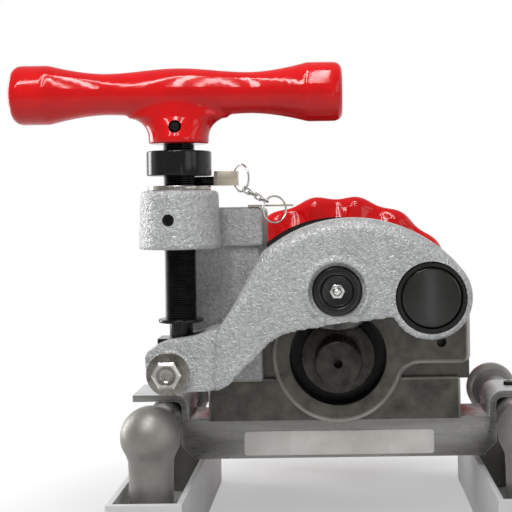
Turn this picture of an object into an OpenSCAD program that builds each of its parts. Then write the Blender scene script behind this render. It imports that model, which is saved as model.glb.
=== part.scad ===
// Bench roll groover: a lever arm presses a grooving roll against a driven roll.
// X runs to the right, Y to the back, Z up. The origin lies on the bench, in the middle of the foot bolts.

/* [Stand] */
// Distance between the middles of the two side rails
rail_spacing = 255; // [246:1:268]
// Height of the rails above the bench
rail_height = 84; // [78:1:100]
// Diameter of a side rail
rail_d = 26; // [22:1:29]
// Distance from the front posts to the rear posts
post_spacing = 168; // [162:1:190]
// Diameter of a post's round head
post_head_d = 41; // [40:1:46]
// Diameter of a post's stem
post_stem_d = 30; // [24:1:34]
// Diameter of the peg at each end of a rail
peg_d = 18; // [12:1:20]
// Length of the peg at each end of a rail
peg_len = 14; // [8:1:16]
// Outer width of a base channel
channel_w = 50; // [46:1:60]
// Height of a base channel
channel_h = 46; // [30:1:54]
// Wall of a base channel
channel_wall = 4; // [3:0.5:5]
// Length of a base channel beyond the posts at each end
channel_over = 31; // [24:1:40]
// Distance between the bench bolt holes along a channel
foot_bolt_spacing = 80; // [50:1:100]
// Diameter of the bench bolt holes
foot_bolt_d = 9; // [6:0.5:11]

/* [Crossbar] */
// Depth of the crossbar from front to back
bar_depth = 46; // [42:1:56]
// Height of the crossbar
bar_h = 29; // [25:1:33]
// Thickness of the hook plate over each rail
hook_wall = 5; // [4:0.5:6]
// Width of the bare label plate
label_w = 138; // [80:1:150]
// Height of the bare label plate
label_h = 17.5; // [10:0.5:20]
// Thickness of the bare label plate
label_t = 0.8; // [0.5:0.1:1.5]

/* [Body] */
// Height of the drive axis above the crossbar
axis_rise = 46; // [44:1:54]
// Width of the plinth
plinth_w = 182; // [174:1:194]
// Height of the plinth
plinth_h = 30; // [24:1:36]
// Depth of the body from front to back
body_depth = 100; // [90:1:112]
// Outer diameter of the front boss
boss_d = 95; // [88:1:98]
// Diameter of the recess in the front boss
recess_d = 69; // [64:1:74]
// Depth of the recess in the front boss
recess_depth = 16; // [14:0.5:20]
// Distance from the drive axis to the middle of the column, sideways
column_x = 80; // [78:0.5:84]
// Width of the column that carries the bracket
column_w = 52; // [46:1:56]
// Height of the column's top above the drive axis
column_rise = 80; // [76:0.5:84]
// Depth of the column
column_depth = 62; // [54:1:70]

/* [Drive] */
// Diameter of the drive shaft
shaft_d = 30; // [24:1:32]
// Diameter of the drive roll
drive_roll_d = 33; // [28:1:36]
// Diameter of the pipe stop behind the drive roll
stop_d = 53; // [46:1:58]
// Thickness of the pipe stop
stop_t = 8; // [5:0.5:9]
// Diameter of the hand wheel over its grips
wheel_d = 234; // [200:1:240]
// Thickness of the hand wheel's rim
wheel_t = 24; // [16:1:30]
// Width of the hand wheel's rim
wheel_rim = 19.5; // [18:0.5:32]
// Number of grip lobes round the hand wheel
wheel_lobes = 18; // [12:1:24]
// Gap between the body and the hand wheel
wheel_gap = 76; // [64:1:90]
// Bearing outer diameter
bearing_d = 55; // [50:1:60]
// Bearing width
bearing_w = 13; // [10:1:16]

/* [Arm] */
// Distance from the origin forward to the arm's front face
arm_reach = 91; // [88:1:100]
// Thickness of the arm
arm_t = 44; // [42:1:48]
// Distance from the drive axis to the pivot, sideways
pivot_x = 63.5; // [60:0.5:66]
// Height of the pivot above the drive axis
pivot_rise = 45.5; // [43:0.5:48]
// Diameter of the pivot pin
pivot_d = 42; // [36:1:44]
// Wall of the bronze bush on the pivot pin
pivot_bush_wall = 2.5; // [1.5:0.5:3]
// Radius of the arm's end round the pivot
pivot_end_r = 28.5; // [28:0.5:31]
// Radius of the arm's crown
crown_r = 95.5; // [92:0.5:100]
// Width of the slot for the grooving roll
roll_slot_w = 24; // [23:0.5:26]
// Wall of the arm in front of the slot
front_cheek = 11; // [9:0.5:13]
// Diameter of the counterbore round the roll's shaft
shaft_bore_d = 39; // [36:1:42]

/* [Grooving roll] */
// Diameter of the grooving roll over its ridge
groove_roll_d = 58; // [54:0.5:60]
// Width of the grooving roll
groove_roll_w = 22; // [20:0.5:22]
// Width of the ridge that forms the groove
ridge_w = 8.7; // [7:0.1:10]
// Height of the ridge above its shoulders
ridge_h = 1.8; // [1:0.1:2.5]
// Gap between the two rolls for the pipe wall
pipe_gap = 5; // [4.6:0.1:7]
// Diameter of the grooving roll's shaft
roll_shaft_d = 34; // [30:1:34]

/* [Feed screw] */
// Distance from the drive axis to the feed screw, sideways
screw_x = 108; // [105:0.5:112]
// Diameter of the feed screw
screw_d = 22; // [20:0.5:24]
// Lead of the feed screw's thread
screw_pitch = 1.5; // [1:0.25:2.5]
// Diameter of the plain end of the screw
neck_d = 16; // [13:0.5:16]
// Diameter of the thrust ring on the screw
thrust_d = 31; // [26:1:34]
// Diameter of the depth collar and of the bush flange
collar_d = 44.5; // [40:0.5:48]
// Height of the depth collar
collar_h = 17; // [12:0.5:18]
// Length of the handle bar
handle_len = 227; // [200:1:232]
// Diameter of the handle bar at its ends
handle_end_d = 41; // [34:1:44]
// Diameter of the handle bar beside the stem
handle_mid_d = 28; // [24:1:32]
// Diameter of the handle's stem
handle_stem_d = 42; // [34:1:44]

/* [Bracket] */
// Diameter of the bracket's boss round the feed screw
bracket_boss_d = 53; // [50:1:58]
// Height of the bracket's boss
bracket_boss_h = 40; // [38:1:46]
// Height of the bracket's tongue
tongue_h = 28; // [24:0.5:32]

/* [Depth gauge] */
// Thickness of the depth gauge's tongue under the collar
gauge_t = 6.3; // [4:0.1:7]
// Height of the depth gauge's outer end
gauge_end_h = 10; // [8:0.5:11]
// Length of the depth gauge's tab
gauge_len = 35; // [32:1:44]
// Width of the depth gauge's tab
gauge_w = 10; // [8:0.5:10]
// Wire diameter of the rings and the chain
wire_d = 1.4; // [1:0.1:1.5]
// Length of the second gauge, a thin plate
plate_len = 32; // [28:1:36]

/* [Hidden] */
$fn = 48;

// Named clearances
run_clear = 0.05;
slip_clear = 0.1;
part_gap = 0.3;
eps = 0.01;

// Heights and depths that follow from the driving sizes
half_rail = rail_spacing / 2;
half_post = post_spacing / 2;
rail_end = half_post - post_head_d * 0.275;
bar_top = rail_height;
axis_z = bar_top + axis_rise;
arm_front = -arm_reach;
arm_back = arm_front + arm_t;
arm_gap = 2;
body_front = arm_back + arm_gap;
body_back = body_front + body_depth;
plinth_set = 6;
plinth_front = body_front + plinth_set;
wall_set = 12;
wall_front = body_front + wall_set;
column_proud = 8;
column_front = wall_front - column_proud;
column_back = column_front + column_depth;
body_step = 6;
bar_set = 14;
bar_front = body_front + bar_set;
bar_back = bar_front + bar_depth;
bar_chamfer = 9.5;
bar_half = half_rail - rail_d / 2 - slip_clear;
bar_foot = bar_top - bar_h + bar_chamfer;
hook_over = 22.5;
hook_turn = hook_wall + 5;
end_hole_d = 7;
end_hole_drop = 14.7;

// The two rolls
nose_set = 12;
drive_roll_front = arm_front + nose_set;
stop_gap = 1;
stop_front = body_front + stop_gap;
slot_front = arm_front + front_cheek;
slot_back = slot_front + roll_slot_w;
roll_z = axis_z + drive_roll_d / 2 + pipe_gap + groove_roll_d / 2;
roll_mid = (slot_front + slot_back) / 2;
pivot_z = axis_z + pivot_rise;
bush_r = pivot_d / 2 + pivot_bush_wall;
roll_clear = 3;
slot_r = groove_roll_d / 2 + roll_clear;

// The feed screw and what sits along it, from the top of the column upwards
screw_y = (arm_front + arm_back) / 2;
column_top = axis_z + column_rise;
boss_top = column_top + bracket_boss_h;
flange_t = 3.2;
flange_inset = 1;
flange_top = boss_top + flange_t;
collar_bottom = flange_top + gauge_t + 2 * part_gap;
collar_top = collar_bottom + collar_h;
collar_travel = 4.5;
handle_gap = 0.5;
handle_bottom = collar_top + collar_travel + handle_gap;
handle_rise = 35;
stem_band = 17;
handle_z = handle_bottom + handle_rise;
tongue_top = column_top + tongue_h;
column_right = -column_x + column_w / 2;
column_left = column_right - column_w;
tongue_over = 1;
tongue_right = column_right + tongue_over;
tongue_front = body_front;
bush_wall = 5;
bush_d = screw_d + 2 * bush_wall;

// The arm's lug under the screw, with the block that hangs on the screw's end
lug_rise = 20;
lug_drop = 18;
lug_top = axis_z + lug_rise;
lug_bottom = axis_z - lug_drop;
lug_r = 15;
bolt_d = 12;
bolt_side = 6;
bolt_drop = 3;
bolt_x = -screw_x - bolt_side;
bolt_z = axis_z - bolt_drop;
bolt_head_af = 18;
bolt_head_h = 7.5;
washer_d = 29;
washer_t = 2.5;
block_reach = bolt_d / 2 + 3;
block_side = 2;
block_wall = 1.5;
block_left = bolt_x - block_reach;
block_right = -screw_x + neck_d / 2 + block_side;
block_half = neck_d / 2 + block_wall;
block_bottom = bolt_z - block_reach;
block_clear = 1;
block_top = lug_top - block_clear;
neck_depth = 9;
neck_bottom = block_top - neck_depth;
pocket_swing = 6;
pocket_drop = 3;
pocket_left = block_left - block_clear;
pocket_right = block_right + pocket_swing;
pocket_half = block_half + block_clear;
pocket_bottom = block_bottom - pocket_drop;
thrust_rise = 9.5;
thrust_z = lug_top + thrust_rise;
thrust_t = 2.4;
crown_start = 38;
crown_x = pivot_x - (crown_r - pivot_end_r) * cos(crown_start);
crown_z = pivot_z - (crown_r - pivot_end_r) * sin(crown_start);

slope_foot = [-screw_x + 28, lug_top + 8];
crown_end = 130;
belly_left = [-38, axis_z + 23.5];
belly_right = [37, axis_z + 33];
lug_right = [-84, lug_bottom + 1];

// Bolts and screws of the stand and the body
label_drop = 18;
hook_screw_d = 8;
hook_screw_proud = 3;
base_bolt_d = 10;
base_bolt_af = 16;
base_bolt_head = 7;
base_bolt_grip = 14;
base_bolt_sink = 0.5;
base_bolt_inset = 16;
base_bolt_x = plinth_w / 2 - base_bolt_inset;
base_bolt_y = bar_front + bar_depth / 2;
base_seat_d = base_bolt_af / cos(30) + 1;
base_seat_h = base_bolt_head + base_bolt_sink;
plinth_mid = -3;
wall_over = 3;
face_drop = 6.5;
face_hole = [10.5, 36];
face_hole_d = 6.8;
face_hole_depth = 12;
wall_sink = 2;
wall_bottom = bar_top + plinth_h - wall_sink;
shaft_room = 4;
rear_boss_rise = 4;
rear_boss_d = 2 * (axis_rise - rear_boss_rise);
seal_d = 62;
seal_t = 6;
bracket_bolt_d = 8;
bracket_bolt_pitch = 28;
bracket_bolt_grip = 18;
bracket_bolt_x = column_right - column_w / 2;
bracket_bolt_y = (tongue_front + column_back) / 2;
lock_d = 8;
lock_y = body_front + body_depth / 2;
lock_depth = 3;
socket_depth = 3;
boss_draft = 3;
grub_d = 8.2;
grub_len = 7;
grub_side = 4;
grub_gap = 1.2;
grub_z = column_top + bracket_boss_h / 2;
set_d = 8;
set_y = (slot_back + arm_back) / 2;
set_len = 12;
set_depth = 1;
bore_depth = 5;
relief_w = 16;
shaft_set = 3;
dish_d = 24;
grease_d = 5;
pin_step = 2;
pin_edge = 1.5;
pin_front = arm_front + 1;

// The drive shaft's rear end and the hand wheel
wheel_front = body_back + wheel_gap;
wheel_hub_d = 62;
wheel_hub_t = 34;
wheel_web_t = 8;
wheel_wave = 5;
stub_d = shaft_d - 10;
stub_set = 6;
stub_len = 16;
shaft_end = wheel_front + wheel_hub_t + stub_len;
extract_d = 6;
extract_depth = 10;
key_set = 4;
key_w = 8;
key_h = 7;
key_len = 24;
nut_af = 32;
nut_h = 11;
nut_washer_t = 3;
nut_flange = 14;

// Bush of the grooving roll, the collar's screw, and the handle's socket and pin
collar_screw_d = 6;
collar_screw_len = 9;
roll_bush_wall = 3;
handle_socket = 26;
tang_d = screw_d - 4;
pin_d = 6;
pin_z = handle_bottom + stem_band * 0.65;
pin_set = 3;

// The first depth gauge and its ring
gauge_front = screw_y + screw_d / 2 + part_gap;
gauge_side = 4;
gauge_left = -screw_x + gauge_side;
gauge_right = gauge_left + gauge_len;
gauge_z = flange_top + part_gap;
gauge_end_left = -screw_x + collar_d / 2 + part_gap;
ring_r = 9.5;
ring_turn = -50;
ring_hole_d = 4;
ring_inset = 3;
ring_hole = [gauge_right - ring_inset, gauge_front + gauge_w / 2];
ring_mid = [ring_hole[0] + ring_r * 0.93 * cos(ring_turn), ring_hole[1] + ring_r * 0.93 * sin(ring_turn),
  gauge_z + gauge_end_h / 2];

// The second gauge on its key ring
key_ring_r = 9.5;
plate_t = 1.4;
plate_w = 12;
plate_z = tongue_top + part_gap - slip_clear;
plate_over = 22;
plate_set = 1;
plate_right = tongue_right + plate_over;
plate_front = tongue_front + plate_set;
key_hole_d = 4.5;
key_hole = [plate_right - 5.5, plate_front + 4];
key_turn = 35;
key_mid = [key_hole[0] - key_ring_r * 0.95 * cos(key_turn), key_hole[1] - key_ring_r * 0.95 * sin(key_turn),
  plate_z + plate_t / 2 - key_ring_r * 0.3];

// The chain runs straight from the first ring to the second
link_count = 4;
link_gap = 0.3;
link_reach = (wire_d + link_gap) / 2;
link_half_w = wire_d + link_gap;
ring_angle = -60;
key_angle = 140;
ring_out = [cos(ring_angle) * cos(ring_turn), cos(ring_angle) * sin(ring_turn), sin(ring_angle)];
chain_first = ring_mid + ring_r * ring_out;
key_out = [cos(key_angle) * cos(key_turn), cos(key_angle) * sin(key_turn), sin(key_angle)];
chain_last = key_mid + key_ring_r * key_out;
chain_way = (chain_last - chain_first) / norm(chain_last - chain_first);
chain_start = chain_first - link_reach * chain_way;
chain_step = (norm(chain_last - chain_first) + 2 * link_reach) / link_count;

// A point on a circle in the XZ plane
function on_arc(cx, cz, r, a) = [cx + r * cos(a), cz + r * sin(a)];

// A round bar along Y, from y0 to y1
module bar_y(x, z, y0, y1, d) {
  translate([x, y0, z])
    rotate([-90, 0, 0])
      cylinder(d = d, h = y1 - y0);
}

// A flat outline in X and Z, given its thickness from y0 to y1
module slab(y0, y1) {
  translate([0, y1, 0])
    rotate([90, 0, 0])
      linear_extrude(height = y1 - y0)
        children();
}

// A block from one corner to the opposite one
module block(low, high) {
  translate(low)
    cube(high - low);
}

// A hexagon head or nut along Z, given its width across flats
module hex(af, h) {
  cylinder(d = af / cos(30), h = h, $fn = 6);
}

// Stand: channels, posts and rails

module base_channel(side) {
  channel_half = half_post + channel_over;
  inner_w = channel_w - 2 * channel_wall;
  color("gainsboro")
    difference() {
      translate([side * half_rail - channel_w / 2, -channel_half, 0])
        cube([channel_w, 2 * channel_half, channel_h]);
      translate([side * half_rail - inner_w / 2, -channel_half + channel_wall, channel_wall])
        cube([inner_w, 2 * (channel_half - channel_wall), channel_h]);
      for (end = [-1, 1])
        translate([side * half_rail, end * foot_bolt_spacing / 2, -eps])
          cylinder(d = foot_bolt_d, h = channel_wall + 2 * eps);
      bar_y(side * half_rail, channel_h - end_hole_drop, -channel_half - eps,
        -channel_half + channel_wall + eps, end_hole_d);
    }
}

module base_channel_left() { base_channel(-1); }

module base_channel_right() { base_channel(1); }

module post(side, end) {
  head_r = post_head_d / 2;
  neck_low = rail_height - head_r * 1.25;
  color("darkgray")
    difference() {
      translate([side * half_rail, end * half_post, 0]) {
        translate([0, 0, channel_wall])
          cylinder(d = post_stem_d, h = rail_height - channel_wall);
        translate([0, 0, rail_height])
          sphere(d = post_head_d);
        translate([0, 0, neck_low])
          cylinder(d1 = post_stem_d, d2 = post_head_d * 0.96, h = head_r * 0.95);
      }
      bar_y(side * half_rail, rail_height, min(end * rail_end, end * (rail_end + peg_len + slip_clear)),
        max(end * rail_end, end * (rail_end + peg_len + slip_clear)), peg_d + 2 * slip_clear);
      bar_y(side * half_rail, rail_height, min(end * (rail_end - head_r), end * rail_end),
        max(end * (rail_end - head_r), end * rail_end), post_head_d);
    }
}

module post_front_left() { post(-1, -1); }

module post_front_right() { post(1, -1); }

module post_rear_left() { post(-1, 1); }

module post_rear_right() { post(1, 1); }

module side_rail(side) {
  color("silver") {
    bar_y(side * half_rail, rail_height, -rail_end, rail_end, rail_d);
    bar_y(side * half_rail, rail_height, -rail_end - peg_len, rail_end + peg_len, peg_d);
  }
}

module side_rail_left() { side_rail(-1); }

module side_rail_right() { side_rail(1); }

// Crossbar between the rails, with a hook over each rail

module hook(side) {
  leg_in = bar_half - hook_wall;
  top_low = rail_height + rail_d / 2 + slip_clear;
  top_high = top_low + hook_wall;
  inner_r = hook_turn - hook_wall;
  outer = [for (a = [90 : 15 : 180]) on_arc(leg_in + hook_turn, top_high - hook_turn, hook_turn, a)];
  inner = [for (a = [180 : -15 : 90]) on_arc(bar_half + inner_r, top_low - inner_r, inner_r, a)];
  leg = [[leg_in, bar_foot], [bar_half, bar_foot]];
  end = [[half_rail + hook_over, top_low], [half_rail + hook_over, top_high]];
  difference() {
    slab(bar_front, bar_back)
      polygon([for (p = concat(outer, leg, inner, end)) [side * p[0], p[1]]]);
    bar_screw_hole(side);
  }
}

module bar_screw_hole(side) {
  translate([side * half_rail, bar_front + bar_depth / 2, rail_height + rail_d / 2])
    cylinder(d = hook_screw_d, h = 2 * hook_wall);
}

module crossbar() {
  flat_half = bar_half - bar_chamfer;
  bottom = bar_top - bar_h;
  color("silver") {
    difference() {
      slab(bar_front, bar_back)
        polygon([[-bar_half, bar_top], [-bar_half, bar_foot], [-flat_half, bottom],
          [flat_half, bottom], [bar_half, bar_foot], [bar_half, bar_top]]);
      for (side = [-1, 1])
        translate([plinth_mid + side * base_bolt_x, base_bolt_y, bottom - eps]) {
          cylinder(d = base_bolt_d + 2 * part_gap, h = bar_h + 2 * eps);
          cylinder(d = base_seat_d, h = base_seat_h + eps);
        }
    }
    hook(-1);
    hook(1);
  }
}

module label_plate() {
  color("white")
    translate([-label_w / 2, bar_front - label_t, bar_top - label_drop - label_h / 2])
      cube([label_w, label_t, label_h]);
}

module base_bolts() {
  color("dimgray")
    for (side = [-1, 1])
      translate([plinth_mid + side * base_bolt_x, base_bolt_y, bar_top - bar_h + base_bolt_sink]) {
        hex(base_bolt_af, base_bolt_head);
        cylinder(d = base_bolt_d, h = bar_h + base_bolt_grip - base_bolt_sink);
      }
}

module hook_screws() {
  screw_len = hook_wall + hook_screw_proud;
  color("dimgray")
    for (side = [-1, 1])
      translate([side * half_rail, bar_front + bar_depth / 2, rail_height + rail_d / 2 + slip_clear])
        difference() {
          cylinder(d = hook_screw_d - 2 * slip_clear, h = screw_len);
          translate([0, 0, screw_len - socket_depth])
            hex(hook_screw_d / 2, socket_depth + eps);
        }
}

// Where one of the two bracket bolts stands, at a height
module bracket_bolt_place(side, z) {
  translate([bracket_bolt_x + side * bracket_bolt_pitch / 2, bracket_bolt_y, z])
    children();
}

// Body: plinth, wall, boss and column in one casting

module body_casting() {
  wall_right = pivot_x + pivot_end_r + wall_over;
  plinth_half = plinth_w / 2;
  color("lightslategray")
    difference() {
      union() {
        block([plinth_mid - plinth_half, plinth_front, bar_top],
          [plinth_mid + plinth_half, body_back, bar_top + plinth_h]);
        block([column_left + column_proud, wall_front, wall_bottom],
          [wall_right, body_back - body_step, pivot_z]);
        block([0, body_front, axis_z - face_drop], [wall_right, body_back - body_step, pivot_z]);
        block([column_left, column_front, wall_bottom], [column_right, column_back, column_top]);
        bar_y(0, axis_z, body_front, bar_front - part_gap, boss_d);
        bar_y(0, axis_z, wall_front, body_back, rear_boss_d);
        bar_y(pivot_x, pivot_z, body_front, body_back - body_step, 2 * pivot_end_r - 1);
      }
      bar_y(0, axis_z, body_front - eps, body_front + recess_depth, recess_d);
      bar_y(0, axis_z, body_front, body_back + eps, shaft_d + 2 * shaft_room);
      bar_y(0, axis_z, body_front, body_front + recess_depth + seal_t, seal_d);
      bar_y(0, axis_z, body_front, body_front + recess_depth + seal_t + bearing_w, bearing_d);
      bar_y(0, axis_z, body_back - bearing_w, body_back + eps, bearing_d);
      bar_y(pivot_x, pivot_z, body_front - eps, body_back, pivot_d);
      for (side = [-1, 1])
        translate([plinth_mid + side * base_bolt_x, base_bolt_y, bar_top - eps])
          cylinder(d = base_bolt_d, h = base_bolt_grip + 2 * eps);
      for (side = [-1, 1])
        bracket_bolt_place(side, column_top - bracket_bolt_grip)
          cylinder(d = bracket_bolt_d, h = bracket_bolt_grip + eps);
      translate([pivot_x, lock_y, pivot_z])
        cylinder(d = lock_d, h = 2 * pivot_end_r);
      bar_y(pivot_x + face_hole[0], pivot_z - face_hole[1], body_front - eps, body_front + face_hole_depth,
        face_hole_d);
    }
}

module front_bearing() {
  bearing(body_front + recess_depth + seal_t);
}

module rear_bearing() {
  bearing(body_back - bearing_w);
}

// One bearing: both races and the row of balls drawn as one closed ring
module bearing(y0) {
  color("silver")
    difference() {
      bar_y(0, axis_z, y0, y0 + bearing_w, bearing_d);
      bar_y(0, axis_z, y0 - eps, y0 + bearing_w + eps, shaft_d + 2 * run_clear);
      mid_d = (bearing_d + shaft_d) / 2;
      for (face = [y0 - eps, y0 + bearing_w - 1.5])
        difference() {
          bar_y(0, axis_z, face, face + 1.5 + eps, mid_d + 7);
          bar_y(0, axis_z, face - eps, face + 1.5 + 2 * eps, mid_d - 7);
        }
    }
}

module shaft_seal() {
  color("black")
    difference() {
      bar_y(0, axis_z, body_front + recess_depth, body_front + recess_depth + seal_t, seal_d);
      bar_y(0, axis_z, body_front, body_front + recess_depth + seal_t + eps, shaft_d + 2 * part_gap);
    }
}

module pivot_pin() {
  color([0.1, 0.1, 0.1])
    difference() {
      union() {
        bar_y(pivot_x, pivot_z, pin_front + pin_step, body_back - body_step, pivot_d);
        bar_y(pivot_x, pivot_z, pin_front, pin_front + pin_step + eps, pivot_d - 2 * pin_edge);
      }
      translate([pivot_x, lock_y, pivot_z + pivot_d / 2 - lock_depth])
        cylinder(d = lock_d, h = 2 * lock_depth);
    }
}

module pivot_lock_screw() {
  lock_top = pivot_z + pivot_end_r - 1.5;
  lock_bottom = pivot_z + pivot_d / 2 - lock_depth;
  color("dimgray")
    translate([pivot_x, lock_y, lock_bottom])
      difference() {
        cylinder(d = lock_d, h = lock_top - lock_bottom);
        translate([0, 0, lock_top - lock_bottom - socket_depth])
          hex(lock_d / 2, socket_depth + eps);
      }
}

// Bracket on top of the column, with the screw's bush

module screw_bracket() {
  color("gainsboro")
    difference() {
      union() {
        translate([-screw_x, screw_y, column_top])
          cylinder(d1 = bracket_boss_d + boss_draft, d2 = bracket_boss_d, h = bracket_boss_h);
        block([-screw_x, tongue_front, column_top], [tongue_right, column_back, tongue_top]);
      }
      translate([-screw_x, screw_y, column_top - eps])
        cylinder(d = bush_d, h = bracket_boss_h + 2 * eps);
      for (side = [-1, 1])
        bracket_bolt_place(side, column_top - eps) {
          cylinder(d = bracket_bolt_d + 2 * part_gap, h = tongue_h + 2 * eps);
          translate([0, 0, tongue_h - bracket_bolt_d])
            cylinder(d = bracket_bolt_d * 1.8, h = bracket_bolt_d + 2 * eps);
        }
      bar_y(-screw_x - grub_side, grub_z, screw_y - bracket_boss_d, screw_y, grub_d);
    }
}

module bracket_bolts() {
  head_d = bracket_bolt_d * 1.6;
  color("black")
    for (side = [-1, 1])
      bracket_bolt_place(side, column_top - bracket_bolt_grip)
        difference() {
          union() {
            cylinder(d = bracket_bolt_d, h = bracket_bolt_grip + tongue_h - bracket_bolt_d);
            translate([0, 0, bracket_bolt_grip + tongue_h - bracket_bolt_d])
              cylinder(d = head_d, h = bracket_bolt_d - 1);
          }
          translate([0, 0, bracket_bolt_grip + tongue_h - 5])
            hex(6, 6);
        }
}

module screw_bush() {
  color("silver")
    translate([-screw_x, screw_y, column_top])
      difference() {
        union() {
          cylinder(d = bush_d - 2 * slip_clear, h = bracket_boss_h);
          translate([0, 0, bracket_boss_h])
            cylinder(d = collar_d - flange_inset, h = flange_t);
        }
        translate([0, 0, -eps])
          cylinder(d = screw_d + 2 * run_clear, h = bracket_boss_h + flange_t + 2 * eps);
      }
}

module bush_grub_screw() {
  bush_face = screw_y - sqrt(pow(bush_d / 2, 2) - pow(grub_side, 2)) - grub_gap;
  color("black")
    difference() {
      bar_y(-screw_x - grub_side, grub_z, bush_face - grub_len, bush_face, grub_d - 2 * slip_clear);
      translate([-screw_x - grub_side, bush_face - grub_len - eps, grub_z])
        rotate([-90, 0, 0])
          hex(grub_d / 2, socket_depth);
    }
}

// Drive: shaft, knurled roll and hand wheel

module drive_shaft() {
  color("dimgray")
    difference() {
      union() {
        bar_y(0, axis_z, stop_front + stop_t, wheel_front + wheel_hub_t, shaft_d);
        bar_y(0, axis_z, drive_roll_front + stub_set, stop_front + stop_t + eps, stub_d);
        bar_y(0, axis_z, wheel_front + wheel_hub_t - eps, shaft_end, stub_d);
      }
      bar_y(0, axis_z, drive_roll_front, drive_roll_front + stub_set + extract_depth, extract_d);
      block([-key_w / 2, wheel_front + key_set, axis_z + shaft_d / 2 - key_h / 2],
        [key_w / 2, wheel_front + key_set + key_len, axis_z + shaft_d]);
    }
}

module drive_roll() {
  groove_w = ridge_w + 1.6;
  nose_edge = 1.5;
  groove_depth = 1.5;
  color("dimgray")
    difference() {
      union() {
        bar_y(0, axis_z, drive_roll_front + nose_edge, stop_front, drive_roll_d);
        translate([0, drive_roll_front, axis_z])
          rotate([-90, 0, 0])
            cylinder(d1 = drive_roll_d - 2 * nose_edge, d2 = drive_roll_d, h = nose_edge);
        bar_y(0, axis_z, stop_front, stop_front + stop_t, stop_d);
      }
      bar_y(0, axis_z, drive_roll_front + stub_set, stop_front + stop_t + eps, stub_d + 2 * run_clear);
      bar_y(0, axis_z, drive_roll_front - eps, drive_roll_front + stub_set + eps, extract_d);
      difference() {
        bar_y(0, axis_z, roll_mid - groove_w / 2, roll_mid + groove_w / 2, 2 * drive_roll_d);
        bar_y(0, axis_z, roll_mid - groove_w / 2 - eps, roll_mid + groove_w / 2 + eps,
          drive_roll_d - 2 * groove_depth);
      }
    }
}

// The rim's outline, a wave with one crest for each grip lobe
module wheel_outline() {
  points = wheel_lobes * 10;
  polygon([for (i = [0 : points - 1])
    on_arc(0, 0, wheel_d / 2 - wheel_wave * (1 - cos(i * 36)) / 2, i * 360 / points)]);
}

module hand_wheel() {
  pocket_t = (wheel_t - wheel_web_t) / 2;
  color("red")
    translate([0, wheel_front, axis_z])
      rotate([-90, 0, 0])
        difference() {
          union() {
            difference() {
              linear_extrude(height = wheel_t)
                wheel_outline();
              for (z = [-eps, wheel_t - pocket_t])
                translate([0, 0, z])
                  cylinder(r = wheel_d / 2 - wheel_rim, h = pocket_t + eps);
            }
            cylinder(d = wheel_hub_d, h = wheel_hub_t);
          }
          translate([0, 0, -eps])
            cylinder(d = shaft_d + 2 * run_clear, h = wheel_hub_t + 2 * eps);
          translate([-key_w / 2 - slip_clear, -shaft_d / 2 - key_h / 2 - slip_clear, -eps])
            cube([key_w + 2 * slip_clear, shaft_d / 2 + key_h / 2, wheel_hub_t + 2 * eps]);
        }
}

module wheel_key() {
  color("silver")
    block([-key_w / 2, wheel_front + key_set, axis_z + shaft_d / 2 - key_h / 2],
      [key_w / 2, wheel_front + key_set + key_len, axis_z + shaft_d / 2 + key_h / 2]);
}

module wheel_nut() {
  color("silver")
    translate([0, wheel_front + wheel_hub_t, axis_z])
      rotate([-90, 0, 0])
        difference() {
          union() {
            cylinder(d = shaft_d + nut_flange, h = nut_washer_t);
            translate([0, 0, nut_washer_t])
              hex(nut_af, nut_h);
          }
          translate([0, 0, -eps])
            cylinder(d = stub_d + 2 * run_clear, h = nut_washer_t + nut_h + 2 * eps);
        }
}

// Arm: one casting with the roll's slot, the pivot bore and the screw's socket

module arm_outline() {
  crown_step = (crown_end - crown_start) / 24;
  crown = [for (i = [0 : 24]) on_arc(crown_x, crown_z, crown_r, crown_start + i * crown_step)];
  polygon(concat(
    [[pivot_x, pivot_z]],
    crown,
    [slope_foot + [9, 12], slope_foot, slope_foot + [-6, -5], [-screw_x + 12, lug_top],
      [block_left - 2, lug_top - 4], [bolt_x - lug_r, lug_top - 12], [bolt_x - lug_r, bolt_z]],
    [[bolt_x, lug_bottom], lug_right, lug_right + [6, 3], belly_left + [-10, -7], belly_left, belly_right]
  ));
}

module arm() {
  color("gainsboro")
    difference() {
      union() {
        slab(arm_front, arm_back)
          arm_outline();
        bar_y(pivot_x, pivot_z, arm_front, arm_back, 2 * pivot_end_r);
        bar_y(bolt_x, bolt_z, arm_front, arm_back, 2 * lug_r);
      }
      bar_y(pivot_x, pivot_z, arm_front - eps, arm_back + eps, 2 * bush_r);
      bar_y(0, roll_z, arm_front - eps, arm_back + eps, roll_shaft_d);
      bar_y(0, roll_z, arm_front - eps, arm_front + bore_depth, shaft_bore_d);
      block([-relief_w / 2, arm_front - eps, axis_z], [relief_w / 2, arm_front + bore_depth, roll_z]);
      bar_y(0, roll_z, slot_front, slot_back, 2 * slot_r);
      block([-slot_r, slot_front, axis_z], [slot_r, slot_back, roll_z]);
      block([pocket_left, screw_y - pocket_half, pocket_bottom],
        [pocket_right, screw_y + pocket_half, lug_top + lug_r]);
      bar_y(bolt_x, bolt_z, arm_front - eps, arm_back + eps, bolt_d + 2 * slip_clear);
      translate([0, set_y, roll_z])
        cylinder(d = set_d, h = crown_r);
    }
}

module pivot_bush() {
  color("darkgoldenrod")
    difference() {
      bar_y(pivot_x, pivot_z, arm_front, arm_back, 2 * bush_r);
      bar_y(pivot_x, pivot_z, arm_front - eps, arm_back + eps, pivot_d + 2 * run_clear);
    }
}

module roll_shaft() {
  color([0.12, 0.12, 0.12])
    difference() {
      bar_y(0, roll_z, arm_front + shaft_set, arm_back, roll_shaft_d);
      bar_y(0, roll_z, arm_front + shaft_set - eps, arm_front + bore_depth, dish_d);
      bar_y(0, roll_z, arm_front + bore_depth - eps, roll_mid, grease_d);
      translate([0, set_y, roll_z + roll_shaft_d / 2 - set_depth])
        cylinder(d = set_d, h = roll_shaft_d);
    }
}

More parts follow.
